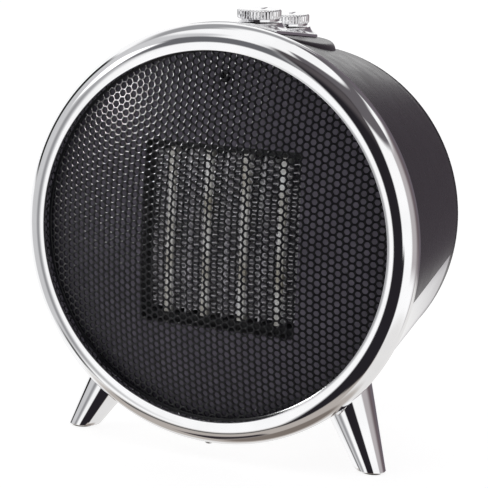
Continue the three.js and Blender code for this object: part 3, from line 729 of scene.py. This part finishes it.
def build_hump():
    """The raised part of the upper shell under the controls: its top, a skirt and a hidden floor."""
    shares = []
    for k in range(HUMP_EDGE_STEPS + 1):
        shares.append(1 - HUMP_EDGE * (1 - math.cos(TURN / 4 * k / HUMP_EDGE_STEPS)))
    shares += HUMP_SHARES
    angles = [TURN * k / HUMP_COLUMNS for k in range(HUMP_COLUMNS)]
    rings = [[hump_point(share, angle) for angle in angles] for share in shares]
    under = [(x, y, z - HUMP_SKIRT) for x, y, z in rings[0]]
    floor = [(0, HUMP_CENTRE, HUMP_INSIDE_HEIGHT)] * HUMP_COLUMNS
    hump = joined(bridge(rings), bridge([rings[0], under, floor]))
    piece("upper_shell_hump", *hump, "black_gloss", "upper_shell")


# ---- Legs ----------------------------------------------------
LEG_BOTTOM_RADIUS = 7.5
LEG_TOP_RADIUS = 17
LEG_LENGTH = 62
LEG_SLOPE = (LEG_TOP_RADIUS - LEG_BOTTOM_RADIUS) / LEG_LENGTH
LEG_SHORTEST = 10
LEG_HALVINGS = 40
LEG_INSIDE_DEPTH = 6
LEG_BOTTOM_EDGE = 0.5
LEG_COLUMNS = 96
LEG_ROWS = 14
PAD_THICKNESS = 0.8
FLOOR_HEIGHT = -LIP_CENTRE.z / MM
LEGS = {
    "front_left": ((-88.6, 29), (0.51, 0.218)),
    "front_right": ((88.6, 29), (-0.51, 0.218)),
    "rear": ((0, 116), (0, -0.3)),
}


def leg_side(foot, axis, spoke, length, inset=0):
    """The point of a leg's side line at a length up its axis."""
    return foot + axis * length + spoke * (LEG_BOTTOM_RADIUS + LEG_SLOPE * length - inset)


def length_at_height(foot, axis, spoke, height):
    """How far up its axis a leg's side line passes a height."""
    return (height - foot.z - spoke.z * LEG_BOTTOM_RADIUS) / (axis.z + spoke.z * LEG_SLOPE)


def length_at_drum(foot, axis, spoke):
    """How far up its axis a leg's side line reaches the drum."""
    low = LEG_SHORTEST
    high = LEG_LENGTH
    for _ in range(LEG_HALVINGS):
        middle = (low + high) / 2
        point = leg_side(foot, axis, spoke, middle)
        if math.hypot(point.x, point.z) > shell_radius(point.y) + GAP:
            low = middle
        else:
            high = middle
    return low


def build_leg(name, foot_place, lean):
    """A cone round a leaning axis, cut to the drum at its top and level at its foot."""
    foot = Vector((*foot_place, FLOOR_HEIGHT))
    axis = Vector((*lean, 1)).normalized()
    first = axis.orthogonal().normalized()
    second = axis.cross(first)
    bottom = FLOOR_HEIGHT + PAD_THICKNESS + GAP
    rings = [[] for _ in range(LEG_ROWS + 4)]
    for k in range(LEG_COLUMNS):
        angle = TURN * k / LEG_COLUMNS
        spoke = first * math.cos(angle) + second * math.sin(angle)
        start = length_at_height(foot, axis, spoke, bottom + LEG_BOTTOM_EDGE)
        end = length_at_drum(foot, axis, spoke)
        sole_length = length_at_height(foot, axis, spoke, bottom)
        sole_point = leg_side(foot, axis, spoke, sole_length, LEG_BOTTOM_EDGE)
        sole_point.z = bottom
        rings[0].append(Vector((foot.x, foot.y, bottom)))
        rings[1].append(sole_point)
        for row in range(LEG_ROWS + 1):
            rings[2 + row].append(leg_side(foot, axis, spoke, start + (end - start) * row / LEG_ROWS))
        rings[LEG_ROWS + 3].append(foot + axis * (end - LEG_INSIDE_DEPTH))
    piece(f"leg_{name}_cone", *bridge(rings), "chrome", f"leg_{name}")


# ---- Control panel and knobs ---------------------------------
PANEL_THICKNESS = 1.5
PANEL_FRONT = 17.6
PANEL_FRONT_HALF_WIDTH = 26
PANEL_REAR_RADIUS = 17.2
PANEL_TOP = GAP + PANEL_THICKNESS
PANEL_EDGE = 0.5
PANEL_COLUMNS = 28
PANEL_FLANK_STEPS = 24
PANEL_END_STEPS = 28
# Shares of the edge's radius, inwards and down, round its quarter circle
PANEL_EDGE_STEPS = ((1, 0), (0.5, 0.13), (0.13, 0.5), (0, 1))
FRONT_SEAT = Vector((0, 54, 113.5))
REAR_SEAT = Vector((0, 95.2, 109.2))
PANEL_REAR = REAR_SEAT.y + PANEL_REAR_RADIUS
CONTROL_TILT = math.radians(2.5)
SEAT_TOP_RADIUS = 12.9
SEAT_BASE_RADIUS = 17.1
SEAT_TOP = -0.4
SEAT_RIM = 0.3
SEAT_EDGE = 0.1
SEAT_BEVEL = 0.35
SEAT_CURVE = 2.1
SEAT_BORE_RADIUS = 4.6
SEAT_BORE_DEPTH = 6
SEAT_SINK = 0.05
SEAT_PROBE_DEPTH = 5
SEAT_STEPS = 14
SEAT_COLUMNS = 96
KNOB_RADIUS = 12.2
KNOB_BOTTOM = 0.2
KNOB_TOP = 6.5
KNOB_FLUTES = 40
POINTS_PER_FLUTE = 8
FLUTE_DEPTH = 0.5
POINTER_HALF_WIDTH = 0.8
POINTER_START = 3.5
POINTER_END = 10.4
POINTER_CORNER = 0.5
POINTER_BEVEL = 0.12


def panel_radius(y, offset=PANEL_TOP):
    """The drum radius of a surface that lies at an offset over the hump."""
    return shell_radius(y) + hump_height(y) + offset


def control_frame(seat):
    """The frame of a knob: its origin in its seat, its Z up the tilted spindle."""
    return Matrix.Translation(seat) @ Matrix.Rotation(CONTROL_TILT, 4, "X")


def panel_half_width(y):
    """Half the tongue's width: a straight taper, then the round rear end."""
    widening = math.atan(
        (PANEL_FRONT_HALF_WIDTH - PANEL_REAR_RADIUS) / (REAR_SEAT.y - PANEL_FRONT))
    tangent_y = REAR_SEAT.y + PANEL_REAR_RADIUS * math.sin(widening)
    if y > tangent_y:
        return math.sqrt(max(0, PANEL_REAR_RADIUS ** 2 - (y - REAR_SEAT.y) ** 2))
    tangent_x = PANEL_REAR_RADIUS * math.cos(widening)
    share = (tangent_y - y) / (tangent_y - PANEL_FRONT)
    return tangent_x + share * (PANEL_FRONT_HALF_WIDTH - tangent_x)


def panel_strip(y, inset, offset):
    """A row of points across the plate, inset from its edges and at an offset over the hump."""
    inner_y = min(max(y, PANEL_FRONT + inset), PANEL_REAR - inset)
    half = max(0.01, panel_half_width(y) - inset)
    radius = panel_radius(inner_y, offset)
    strip = []
    for k in range(PANEL_COLUMNS + 1):
        x = half * (2 * k / PANEL_COLUMNS - 1)
        strip.append((x, inner_y, math.sqrt(radius ** 2 - x ** 2)))
    return strip


def panel_border(rows, inset, offset):
    """The loop of points round the plate, from the outer points of its strips."""
    strips = [panel_strip(y, inset, offset) for y in rows]
    loop = list(strips[0])
    loop += [strip[-1] for strip in strips[1:]]
    loop += strips[-1][-2::-1]
    loop += [strip[0] for strip in strips[-2:0:-1]]
    return loop


def build_panel():
    """A curved plate that follows the hump, with its edge rounded over and a flare per knob."""
    rows = []
    for k in range(PANEL_FLANK_STEPS + 1):
        rows.append(PANEL_FRONT + (REAR_SEAT.y - PANEL_FRONT) * k / PANEL_FLANK_STEPS)
    for k in range(1, PANEL_END_STEPS + 1):
        rows.append(REAR_SEAT.y + PANEL_REAR_RADIUS * math.sin(TURN / 4 * k / PANEL_END_STEPS))
    top = bridge([panel_strip(y, PANEL_EDGE, PANEL_TOP) for y in rows], closed_rings=False)
    under = bridge([panel_strip(y, 0, GAP) for y in rows], closed_rings=False)
    borders = [
        panel_border(rows, PANEL_EDGE * inwards, PANEL_TOP - PANEL_EDGE * down)
        for inwards, down in PANEL_EDGE_STEPS
    ]
    borders.append(panel_border(rows, 0, GAP))
    seats = [seat_flare(seat) for seat in (FRONT_SEAT, REAR_SEAT)]
    solid = joined(top, under, bridge(borders), *seats)
    piece("control_panel_trim", *solid, "chrome", "control_panel")


def seat_flare(seat):
    """A concave flare from the panel up to the flat ring under a knob, with a bore in its middle."""
    place = control_frame(seat)
    back = place.inverted()
    rings = []
    for i in range(SEAT_STEPS + 1):
        share = i / SEAT_STEPS
        radius = SEAT_TOP_RADIUS + (SEAT_BASE_RADIUS - SEAT_TOP_RADIUS) * (1 - share) ** SEAT_CURVE
        ring = []
        for x, y in circle(radius, count=SEAT_COLUMNS):
            foot = place @ Vector((x, y, -SEAT_PROBE_DEPTH))
            foot.z = math.sqrt((panel_radius(foot.y) - SEAT_SINK) ** 2 - foot.x ** 2)
            low = (back @ foot).z
            ring.append(place @ Vector((x, y, low + (SEAT_TOP - SEAT_RIM - low) * share)))
        rings.append(ring)
    for radius, height in (
        (SEAT_TOP_RADIUS - SEAT_EDGE, SEAT_TOP - SEAT_EDGE),
        (SEAT_TOP_RADIUS - SEAT_BEVEL, SEAT_TOP),
        (SEAT_BORE_RADIUS, SEAT_TOP),
        (SEAT_BORE_RADIUS, -SEAT_BORE_DEPTH),
    ):
        outline = circle(radius, count=SEAT_COLUMNS)
        rings.append([place @ Vector((x, y, height)) for x, y in outline])
    return bridge(rings)


# Radius, height and share of the flutes' depth, from the underside up and in to the middle
KNOB_LEVELS = (
    (KNOB_RADIUS - 5, KNOB_BOTTOM, 0),
    (KNOB_RADIUS - 1.0, KNOB_BOTTOM, 0),
    (KNOB_RADIUS - 0.9, KNOB_BOTTOM + 0.1, 0),
    (KNOB_RADIUS - 0.9, 1.3, 0),
    (KNOB_RADIUS - 0.35, 1.5, 0.4),
    (KNOB_RADIUS, 1.8, 1),
    (KNOB_RADIUS, 5.5, 1),
    (KNOB_RADIUS - 0.25, 5.95, 0.8),
    (KNOB_RADIUS - 0.8, 6.3, 0.15),
    (KNOB_RADIUS - 1.2, 6.42, 0),
    (KNOB_RADIUS - 1.7, KNOB_TOP, 0),
    (KNOB_RADIUS - 2.1, KNOB_TOP - 0.12, 0),
    (KNOB_RADIUS - 6, KNOB_TOP - 0.3, 0),
    (0, KNOB_TOP - 0.35, 0),
)
POINTER_LEVELS = ((KNOB_TOP - 0.6, 0), (KNOB_TOP - 0.05, 0), (KNOB_TOP + 0.05, POINTER_BEVEL))


def knob_cap():
    """A shallow cup with a fluted wall and a plain band under it."""
    count = KNOB_FLUTES * POINTS_PER_FLUTE
    rings = []
    for radius, height, share in KNOB_LEVELS:
        ring = []
        for k in range(count):
            angle = TURN * k / count
            dip = FLUTE_DEPTH * share * abs(math.sin(KNOB_FLUTES * angle / 2)) ** 3
            ring.append(((radius - dip) * math.cos(angle), (radius - dip) * math.sin(angle), height))
        rings.append(ring)
    middle = [(x * 0.01, y * 0.01, KNOB_BOTTOM) for x, y, _ in rings[0]]
    return bridge([middle, *rings])


def knob_pointer():
    """A raised bar on top of a knob, from near its middle to its rim."""
    rings = []
    for height, inset in POINTER_LEVELS:
        half = POINTER_HALF_WIDTH - inset
        outline = rectangle(-half, half, POINTER_START + inset, POINTER_END - inset)
        rings.append([(x, y, height) for x, y in rounded(outline, POINTER_CORNER, 3)])
    return capped(rings)


def build_knobs():
    """The same fluted knob over each seat, turning with its own control."""
    for name, body, seat in (
        ("mode_knob", "mode_control", FRONT_SEAT),
        ("thermostat_knob", "thermostat_control", REAR_SEAT),
    ):
        solid = moved(joined(knob_cap(), knob_pointer()), control_frame(seat))
        piece(f"{name}_cap", *solid, "chrome", name, body)


# ---- Rear cover ----------------------------------------------
COVER_FRONT = SHELL_REAR + GAP
COVER_REAR = COVER_FRONT + 3.2
COVER_RADIUS = 95.8
COVER_BEVEL = 0.7
COVER_SEGMENTS = 180
SPIGOT = rectangle(90.8, 92.8, 124.3, 131)
SPIGOT_SEGMENTS = 128
INLET_HEIGHT = -78
INLET_HOLE_RADIUS = 5.6
SLOT_ROWS = 5
SLOT_PITCH = 11
SLOT_HEIGHT = 6
SLOT_FIELD = 66
SLOT_RIB = 2
COVER_SCREW_REACH = 84
COVER_SCREW_ANGLES = (45, 135, 225, 315)
COVER_SCREW_RADIUS = 3.4
COVER_SCREW_HEIGHT = 1.7
COVER_SCREW_LIFT = 0.05
BUSH_OUTLINE = ((3.2, -5), (5.2, -5), (5.2, 3.5), (8, 3.5), (7.6, 5.2), (6.6, 5.5), (3.2, 5.5))


def intake_slots():
    """Rows of round-ended slots inside a circle, each row in two with a rib between them."""
    slots = []
    for row in range(-SLOT_ROWS, SLOT_ROWS + 1):
        z = row * SLOT_PITCH
        reach = math.sqrt(SLOT_FIELD ** 2 - z ** 2)
        for left, right in ((SLOT_RIB, reach), (-reach, -SLOT_RIB)):
            slot = rectangle(left, right, z - SLOT_HEIGHT / 2, z + SLOT_HEIGHT / 2)
            slots.append(rounded(slot, SLOT_HEIGHT / 2, 6))
    return slots


def build_rear_cover():
    """The slotted cover with a spigot that enters the shell, and the screws that hold it."""
    holes = intake_slots() + [circle(INLET_HOLE_RADIUS, 32, INLET_HEIGHT)]
    edge = circle(COVER_RADIUS, count=COVER_SEGMENTS)
    body = plate(edge, holes, COVER_FRONT, COVER_REAR, COVER_BEVEL)
    cover = joined(body, lathe(SPIGOT, SPIGOT_SEGMENTS))
    piece("rear_cover_plate", *cover, "black_gloss", "rear_cover")
    for i, degrees in enumerate(COVER_SCREW_ANGLES):
        angle = math.radians(degrees)
        x = COVER_SCREW_REACH * math.cos(angle)
        z = COVER_SCREW_REACH * math.sin(angle)
        seat = (x, COVER_REAR + COVER_SCREW_LIFT, z)
        node = f"cover_screw_{i + 1}"
        build_screw(node, COVER_SCREW_RADIUS, COVER_SCREW_HEIGHT, seat, (0, 1, 0), "steel")


def build_cord_inlet():
    """The rubber bush that the cord would come through."""
    bush = lathe(rounded(BUSH_OUTLINE, 0.5, 3), 48)
    place = Matrix.Translation((0, COVER_FRONT, INLET_HEIGHT))
    piece("cord_inlet_bush", *moved(bush, place), "rubber", "cord_inlet")


# ---- Fan and motor -------------------------------------------
FAN_FRONT = 57
FAN_REAR = 71
FAN_RADIUS = 39.3
HUB_RADIUS = 12
BLADE_COUNT = 7
BLADE_THICKNESS = 1.1
BLADE_ROOT_DEPTH = 1
BLADE_PITCH_AT_HUB = 46
BLADE_PITCH_AT_TIP = 28
BLADE_CHORD = 15
BLADE_CHORD_GAIN = 11
BLADE_BOW = 1.6
BLADE_LEAN = 0.25
BLADE_TRIM = 0.25
BLADE_FLATNESS = 0.82
BLADE_CLEARANCE = 0.1
BLADE_STEPS = 14
CHORD_STEPS = 12
MOTOR_FRONT = 78.6
MOTOR_RIBS = 16


def fan_blade(turn):
    """A curved, twisted blade from the hub to the tip, with a rounded outer corner."""
    root = HUB_RADIUS - BLADE_ROOT_DEPTH
    low = FAN_FRONT + BLADE_CLEARANCE
    high = FAN_REAR - BLADE_CLEARANCE
    loops = []
    for i in range(BLADE_STEPS + 1):
        share = i / BLADE_STEPS
        radius = root + (FAN_RADIUS - root) * share
        pitch = math.radians(BLADE_PITCH_AT_HUB - (BLADE_PITCH_AT_HUB - BLADE_PITCH_AT_TIP) * share)
        chord = BLADE_CHORD + BLADE_CHORD_GAIN * math.sin(share * math.pi * 0.62)
        front_row = []
        back_row = []
        for k in range(CHORD_STEPS + 1):
            along = k / CHORD_STEPS - 0.5
            trim = 1 - BLADE_TRIM * share ** 6 * (2 * abs(along)) ** 3
            bow = BLADE_BOW * (1 - (2 * along) ** 2)
            across = along * chord * trim
            rise = across * math.sin(pitch) * BLADE_FLATNESS - bow * math.cos(pitch)
            y = (FAN_FRONT + FAN_REAR) / 2 + rise
            sweep = (across * math.cos(pitch) + bow * math.sin(pitch)) / radius
            angle = turn + sweep + BLADE_LEAN * share
            x = radius * trim ** 0.3 * math.cos(angle)
            z = radius * trim ** 0.3 * math.sin(angle)
            for row, offset in ((front_row, -BLADE_THICKNESS / 2), (back_row, BLADE_THICKNESS / 2)):
                row.append((x, min(max(y + offset, low), high), z))
        loops.append(front_row + back_row[::-1])
    points, faces = bridge(loops)
    size = len(loops[0])
    for start in (0, len(points) - size):
        for k in range(CHORD_STEPS):
            faces.append((start + k, start + k + 1, start + size - 2 - k, start + size - 1 - k))
    return points, faces


def build_fan():
    """A cupped hub with seven blades."""
    hub = lathe(rounded([
        (1.9, FAN_FRONT + 1), (HUB_RADIUS - 3, FAN_FRONT), (HUB_RADIUS, FAN_FRONT + 2.5),
        (HUB_RADIUS, FAN_REAR), (HUB_RADIUS - 1.5, FAN_REAR), (HUB_RADIUS - 1.5, FAN_FRONT + 4),
        (5, FAN_FRONT + 3), (5, FAN_REAR), (1.9, FAN_REAR),
    ], 0.8, 3), 64)
    blades = [fan_blade(TURN * i / BLADE_COUNT) for i in range(BLADE_COUNT)]
    piece("fan_wheel", *joined(hub, *blades), "plain_plastic", "fan", "fan_rotor")


def build_motor():
    """A steel can with a rolled edge, a front boss and a ring of raised ribs."""
    front = MOTOR_FRONT
    can = lathe(rounded([
        (1.9, front - 1.8), (6, front - 1.8), (6, front), (21, front), (23, front + 2), (23, front + 8),
        (22.6, front + 8.6), (22.6, front + 20), (23, front + 20.6), (23, front + 26), (21, front + 28),
        (9, front + 28), (8.5, front + 26.8), (1, front + 26.8), (1, front + 16), (1.9, front + 16),
    ], 0.5, 3), 96)
    rib = plate(rounded(rectangle(-1.2, 1.2, -5, 5), 1.1, 4), [], 22.5, 23, 0.15)
    ribs = []
    for i in range(MOTOR_RIBS):
        turn = Matrix.Rotation(TURN * i / MOTOR_RIBS, 4, "Y") @ Matrix.Translation((0, front + 14, 0))
        ribs.append(moved(rib, turn @ Matrix.Rotation(TURN / 4, 4, "X")))
    piece("motor_can", *joined(can, *ribs), "steel", "motor")


# ---- CAD pieces that stay ------------------------------------
SOFTENED = {
    "air_duct": 0.4,
    "core_frame": 0.5,
    "fin_spacer_1": 0.15,
    "fin_spacer_2": 0.15,
    "fin_spacer_3": 0.15,
    "core_terminal_1": 0.15,
    "core_terminal_2": 0.15,
    "thermal_cutout": 0.4,
    "fan_shroud": 0.4,
    "motor_bracket": 0.4,
    "terminal_block": 0.8,
    "tip_over_switch": 0.8,
}
SOFTENED_MERGE_DISTANCE = 1e-5
SOFTENED_ANGLE = math.radians(40)
SOFTENED_SEGMENTS = 3


def dress_cad_nodes():
    """Gives each CAD node its finish, and rounds the edges of those that show in the scene."""
    for part in frame["record"]["subparts"]:
        node = frame["nodes"][part["node"]]
        for slot in node.material_slots:
            slot.material = FINISHES[part["material_slot"]]
    for name, width in SOFTENED.items():
        node = frame["nodes"][name]
        weld = node.modifiers.new("weld", "WELD")
        weld.merge_threshold = SOFTENED_MERGE_DISTANCE
        bevel = node.modifiers.new("bevel", "BEVEL")
        bevel.width = width * MM
        bevel.segments = SOFTENED_SEGMENTS
        bevel.limit_method = "ANGLE"
        bevel.angle_limit = SOFTENED_ANGLE


# ---- Room ----------------------------------------------------
FLOOR_HALF_WIDTH = 6
FLOOR_GREY = 0.35
FLOOR_ROUGHNESS = 0.9
FLOOR_GLOW = 0.84


def build_floor():
    """A plain pale floor with a glow. Polished parts mirror the studio's panels instead of it."""
    mesh = bpy.data.meshes.new("floor")
    half = FLOOR_HALF_WIDTH
    corners = [(-half, -half, 0), (half, -half, 0), (half, half, 0), (-half, half, 0)]
    mesh.from_pydata(corners, [], [(0, 1, 2, 3)])
    material = bpy.data.materials.new("floor")
    material.use_nodes = True
    shader = material.node_tree.nodes["Principled BSDF"]
    shader.inputs["Base Color"].default_value = (FLOOR_GREY, FLOOR_GREY, FLOOR_GREY, 1)
    shader.inputs["Roughness"].default_value = FLOOR_ROUGHNESS
    shader.inputs["Specular IOR Level"].default_value = 0
    shader.inputs["Emission Color"].default_value = (1, 1, 1, 1)
    shader.inputs["Emission Strength"].default_value = FLOOR_GLOW
    mesh.materials.append(material)
    floor = bpy.data.objects.new("floor", mesh)
    floor.visible_glossy = False
    bpy.context.scene.collection.objects.link(floor)


class StudioSky:
    """The soft panels all round the heater, placed by the direction in which they are seen.

    Headings are degrees from -Y towards +X, and heights are degrees above level.
    """

    def __init__(self, base):
        world = bpy.data.worlds.new("studio")
        bpy.context.scene.world = world
        world.use_nodes = True
        self.tree = world.node_tree
        direction = self.tree.nodes.new("ShaderNodeTexCoord").outputs["Generated"]
        parts = self.tree.nodes.new("ShaderNodeSeparateXYZ")
        self.tree.links.new(direction, parts.inputs["Vector"])
        toward = self.math("MULTIPLY", parts.outputs["Y"], -1)
        self.heading = self.math("DEGREES", self.math("ARCTAN2", parts.outputs["X"], toward))
        self.height = self.math("DEGREES", self.math("ARCSINE", parts.outputs["Z"]))
        self.colour = self.tree.nodes.new("ShaderNodeRGB").outputs["Color"]
        self.colour.default_value = (*base, 1)

    def math(self, operation, first, second=None):
        """The output of a Math node on sockets or plain numbers."""
        node = self.tree.nodes.new("ShaderNodeMath")
        node.operation = operation
        for socket, value in zip(node.inputs, (first, second)):
            if isinstance(value, bpy.types.NodeSocket):
                self.tree.links.new(value, socket)
            elif value is not None:
                socket.default_value = value
        return node.outputs["Value"]

    def edge(self, value, start, end):
        """0 before start and 1 after end, with a soft step between them."""
        step = self.tree.nodes.new("ShaderNodeMapRange")
        step.interpolation_type = "SMOOTHSTEP"
        step.inputs["From Min"].default_value = start
        step.inputs["From Max"].default_value = end
        self.tree.links.new(value, step.inputs["Value"])
        return step.outputs["Result"]

    def band(self, value, low, high, soft):
        """1 between low and high and 0 outside, with soft steps."""
        rising = self.edge(value, low - soft, low + soft)
        falling = self.edge(value, high - soft, high + soft)
        return self.math("MULTIPLY", rising, self.math("SUBTRACT", 1, falling))

    def panel(self, headings, heights, colour, soft):
        """A soft-edged patch of colour between two headings and two heights."""
        mask = self.math(
            "MULTIPLY",
            self.band(self.heading, *headings, soft),
            self.band(self.height, *heights, soft),
        )
        self.mix(mask, colour)

    def mix(self, mask, colour):
        """Lays a colour over what is there, where the mask is 1."""
        node = self.tree.nodes.new("ShaderNodeMix")
        node.data_type = "RGBA"
        node.inputs[MIX_SECOND].default_value = (*colour, 1)
        self.tree.links.new(mask, node.inputs[MIX_FACTOR])
        self.tree.links.new(self.colour, node.inputs[MIX_FIRST])
        self.colour = node.outputs[MIX_RESULT]

    def finish(self, backdrop, strength):
        """Lights the scene with the panels and shows the camera a plain backdrop behind it."""
        rays = self.tree.nodes.new("ShaderNodeLightPath")
        self.mix(rays.outputs["Is Camera Ray"], backdrop)
        background = self.tree.nodes["Background"]
        background.inputs["Strength"].default_value = strength
        self.tree.links.new(self.colour, background.inputs["Color"])


WHITE = (1, 1, 1)
LOW_WHITE = (0.8, 0.79, 0.78)
GAP_BLACK = (0.018, 0.016, 0.02)
SKY_STRENGTH = 1.05

# Headings, heights, colour and softness of each panel. A later panel covers the earlier ones.
STUDIO_PANELS = (
    # The wall on the right and behind, which darkens to the rear
    ((86, 190), (-16, 34), (0.46, 0.43, 0.44), 5),
    ((130, 190), (-36, -14), (0.5, 0.48, 0.48), 9),
    ((124, 190), (-16, 34), (0.14, 0.11, 0.12), 14),
    # The wall on the left with a greyer patch, and the grey above and behind it
    ((-92, -32), (-30, 46), (0.6, 0.6, 0.61), 5),
    ((-52, -37), (-26, 8), (0.3, 0.3, 0.31), 6),
    ((-190, -80), (40, 68), (0.33, 0.33, 0.34), 6),
    # The table all round, with whiter parts on the right and behind
    ((-190, 190), (-100, -40), (0.46, 0.42, 0.39), 5),
    ((44, 190), (-62, -32), LOW_WHITE, 5),
    ((-190, -120), (-62, -32), LOW_WHITE, 5),
    # A dark line on the table at the front left, the shade under the heater, a black patch beside it
    ((-70, 12), (-47, -42), (0.08, 0.08, 0.08), 2),
    ((-190, 190), (-100, -72), (0.2, 0.17, 0.15), 3),
    ((-80, -20), (-71, -60), (0.03, 0.025, 0.03), 3),
    # The dark back of the room, on both sides of the heading of 180 degrees
    ((150, 190), (-14, 36), (0.14, 0.12, 0.14), 4),
    ((-190, -170), (-14, 36), (0.17, 0.15, 0.17), 3),
    ((-172, -150), (-14, 1), (0.13, 0.11, 0.13), 3),
    # The white strip under the back of the room
    ((140, 190), (-40, -16), LOW_WHITE, 3),
    ((-190, -140), (-40, -16), LOW_WHITE, 3),
    # The dark ceiling on the right
    ((0, 190), (34, 63), (0.13, 0.12, 0.13), 3),
    # The dark gap where the photographer stands, wider below, greyer at its top and on its left
    ((-12, 32), (-48, 45), GAP_BLACK, 3),
    ((20, 42), (-50, -8), GAP_BLACK, 3),
    ((-12, 32), (24, 45), (0.09, 0.08, 0.085), 8),
    ((-44, -12), (9, 33), (0.14, 0.14, 0.15), 3),
    # A black post on the left, the key light's glow, and a dark patch low on the left
    ((-104, -86), (-2, 30), (0.01, 0.01, 0.01), 3),
    ((-60, -42), (11, 26), (1.6, 1.6, 1.6), 3),
    ((-76, -60), (-37, -28), (0.1, 0.1, 0.1), 3),
    # A white panel high behind on the right
    ((104, 140), (34, 48), WHITE, 4),
)


def build_world():
    """A white studio with grey walls, a pale table and dark gaps, for the chrome to mirror."""
    sky = StudioSky(base=WHITE)
    for headings, heights, colour, soft in STUDIO_PANELS:
        sky.panel(headings, heights, colour, soft)
    sky.finish(backdrop=WHITE, strength=SKY_STRENGTH)


KEY_LIGHT_HEADING = math.radians(-51)
KEY_LIGHT_HEIGHT = math.radians(17)
KEY_LIGHT_DISTANCE = 1.5
KEY_LIGHT_SIZE = 0.24
KEY_LIGHT_POWER = 22
KEY_LIT_PIECES = ("front_grille", "heating_bar", "fin_strip")


def build_key_light():
    """A small bright soft box on the left that lights the grille and the core and nothing else.

    The chrome mirrors the glow that the studio's panels have in its place.
    """
    level = math.cos(KEY_LIGHT_HEIGHT)
    direction = Vector((
        math.sin(KEY_LIGHT_HEADING) * level,
        -math.cos(KEY_LIGHT_HEADING) * level,
        math.sin(KEY_LIGHT_HEIGHT),
    ))
    data = bpy.data.lights.new("key_light", "AREA")
    data.shape = "SQUARE"
    data.size = KEY_LIGHT_SIZE
    data.energy = KEY_LIGHT_POWER
    light = bpy.data.objects.new("key_light", data)
    light.location = LIP_CENTRE + KEY_LIGHT_DISTANCE * direction
    light.rotation_euler = direction.to_track_quat("Z", "Y").to_euler()
    lit = bpy.data.collections.new("lit_by_key_light")
    for thing in bpy.context.scene.objects:
        if thing.name.startswith(KEY_LIT_PIECES):
            lit.objects.link(thing)
    light.light_linking.receiver_collection = lit
    light.light_linking.blocker_collection = lit
    bpy.context.scene.collection.objects.link(light)


build_camera()
build_world()
build_floor()
build_bezel()
build_grille()
build_grille_rim()
build_front_plate()
build_bars()
build_fins()
build_shell()
build_hump()
for leg_name, (leg_foot, leg_lean) in LEGS.items():
    build_leg(leg_name, leg_foot, leg_lean)
build_panel()
build_knobs()
build_rear_cover()
build_cord_inlet()
build_fan()
build_motor()
dress_cad_nodes()
build_key_light()
bpy.context.scene.view_settings.view_transform = "Standard"
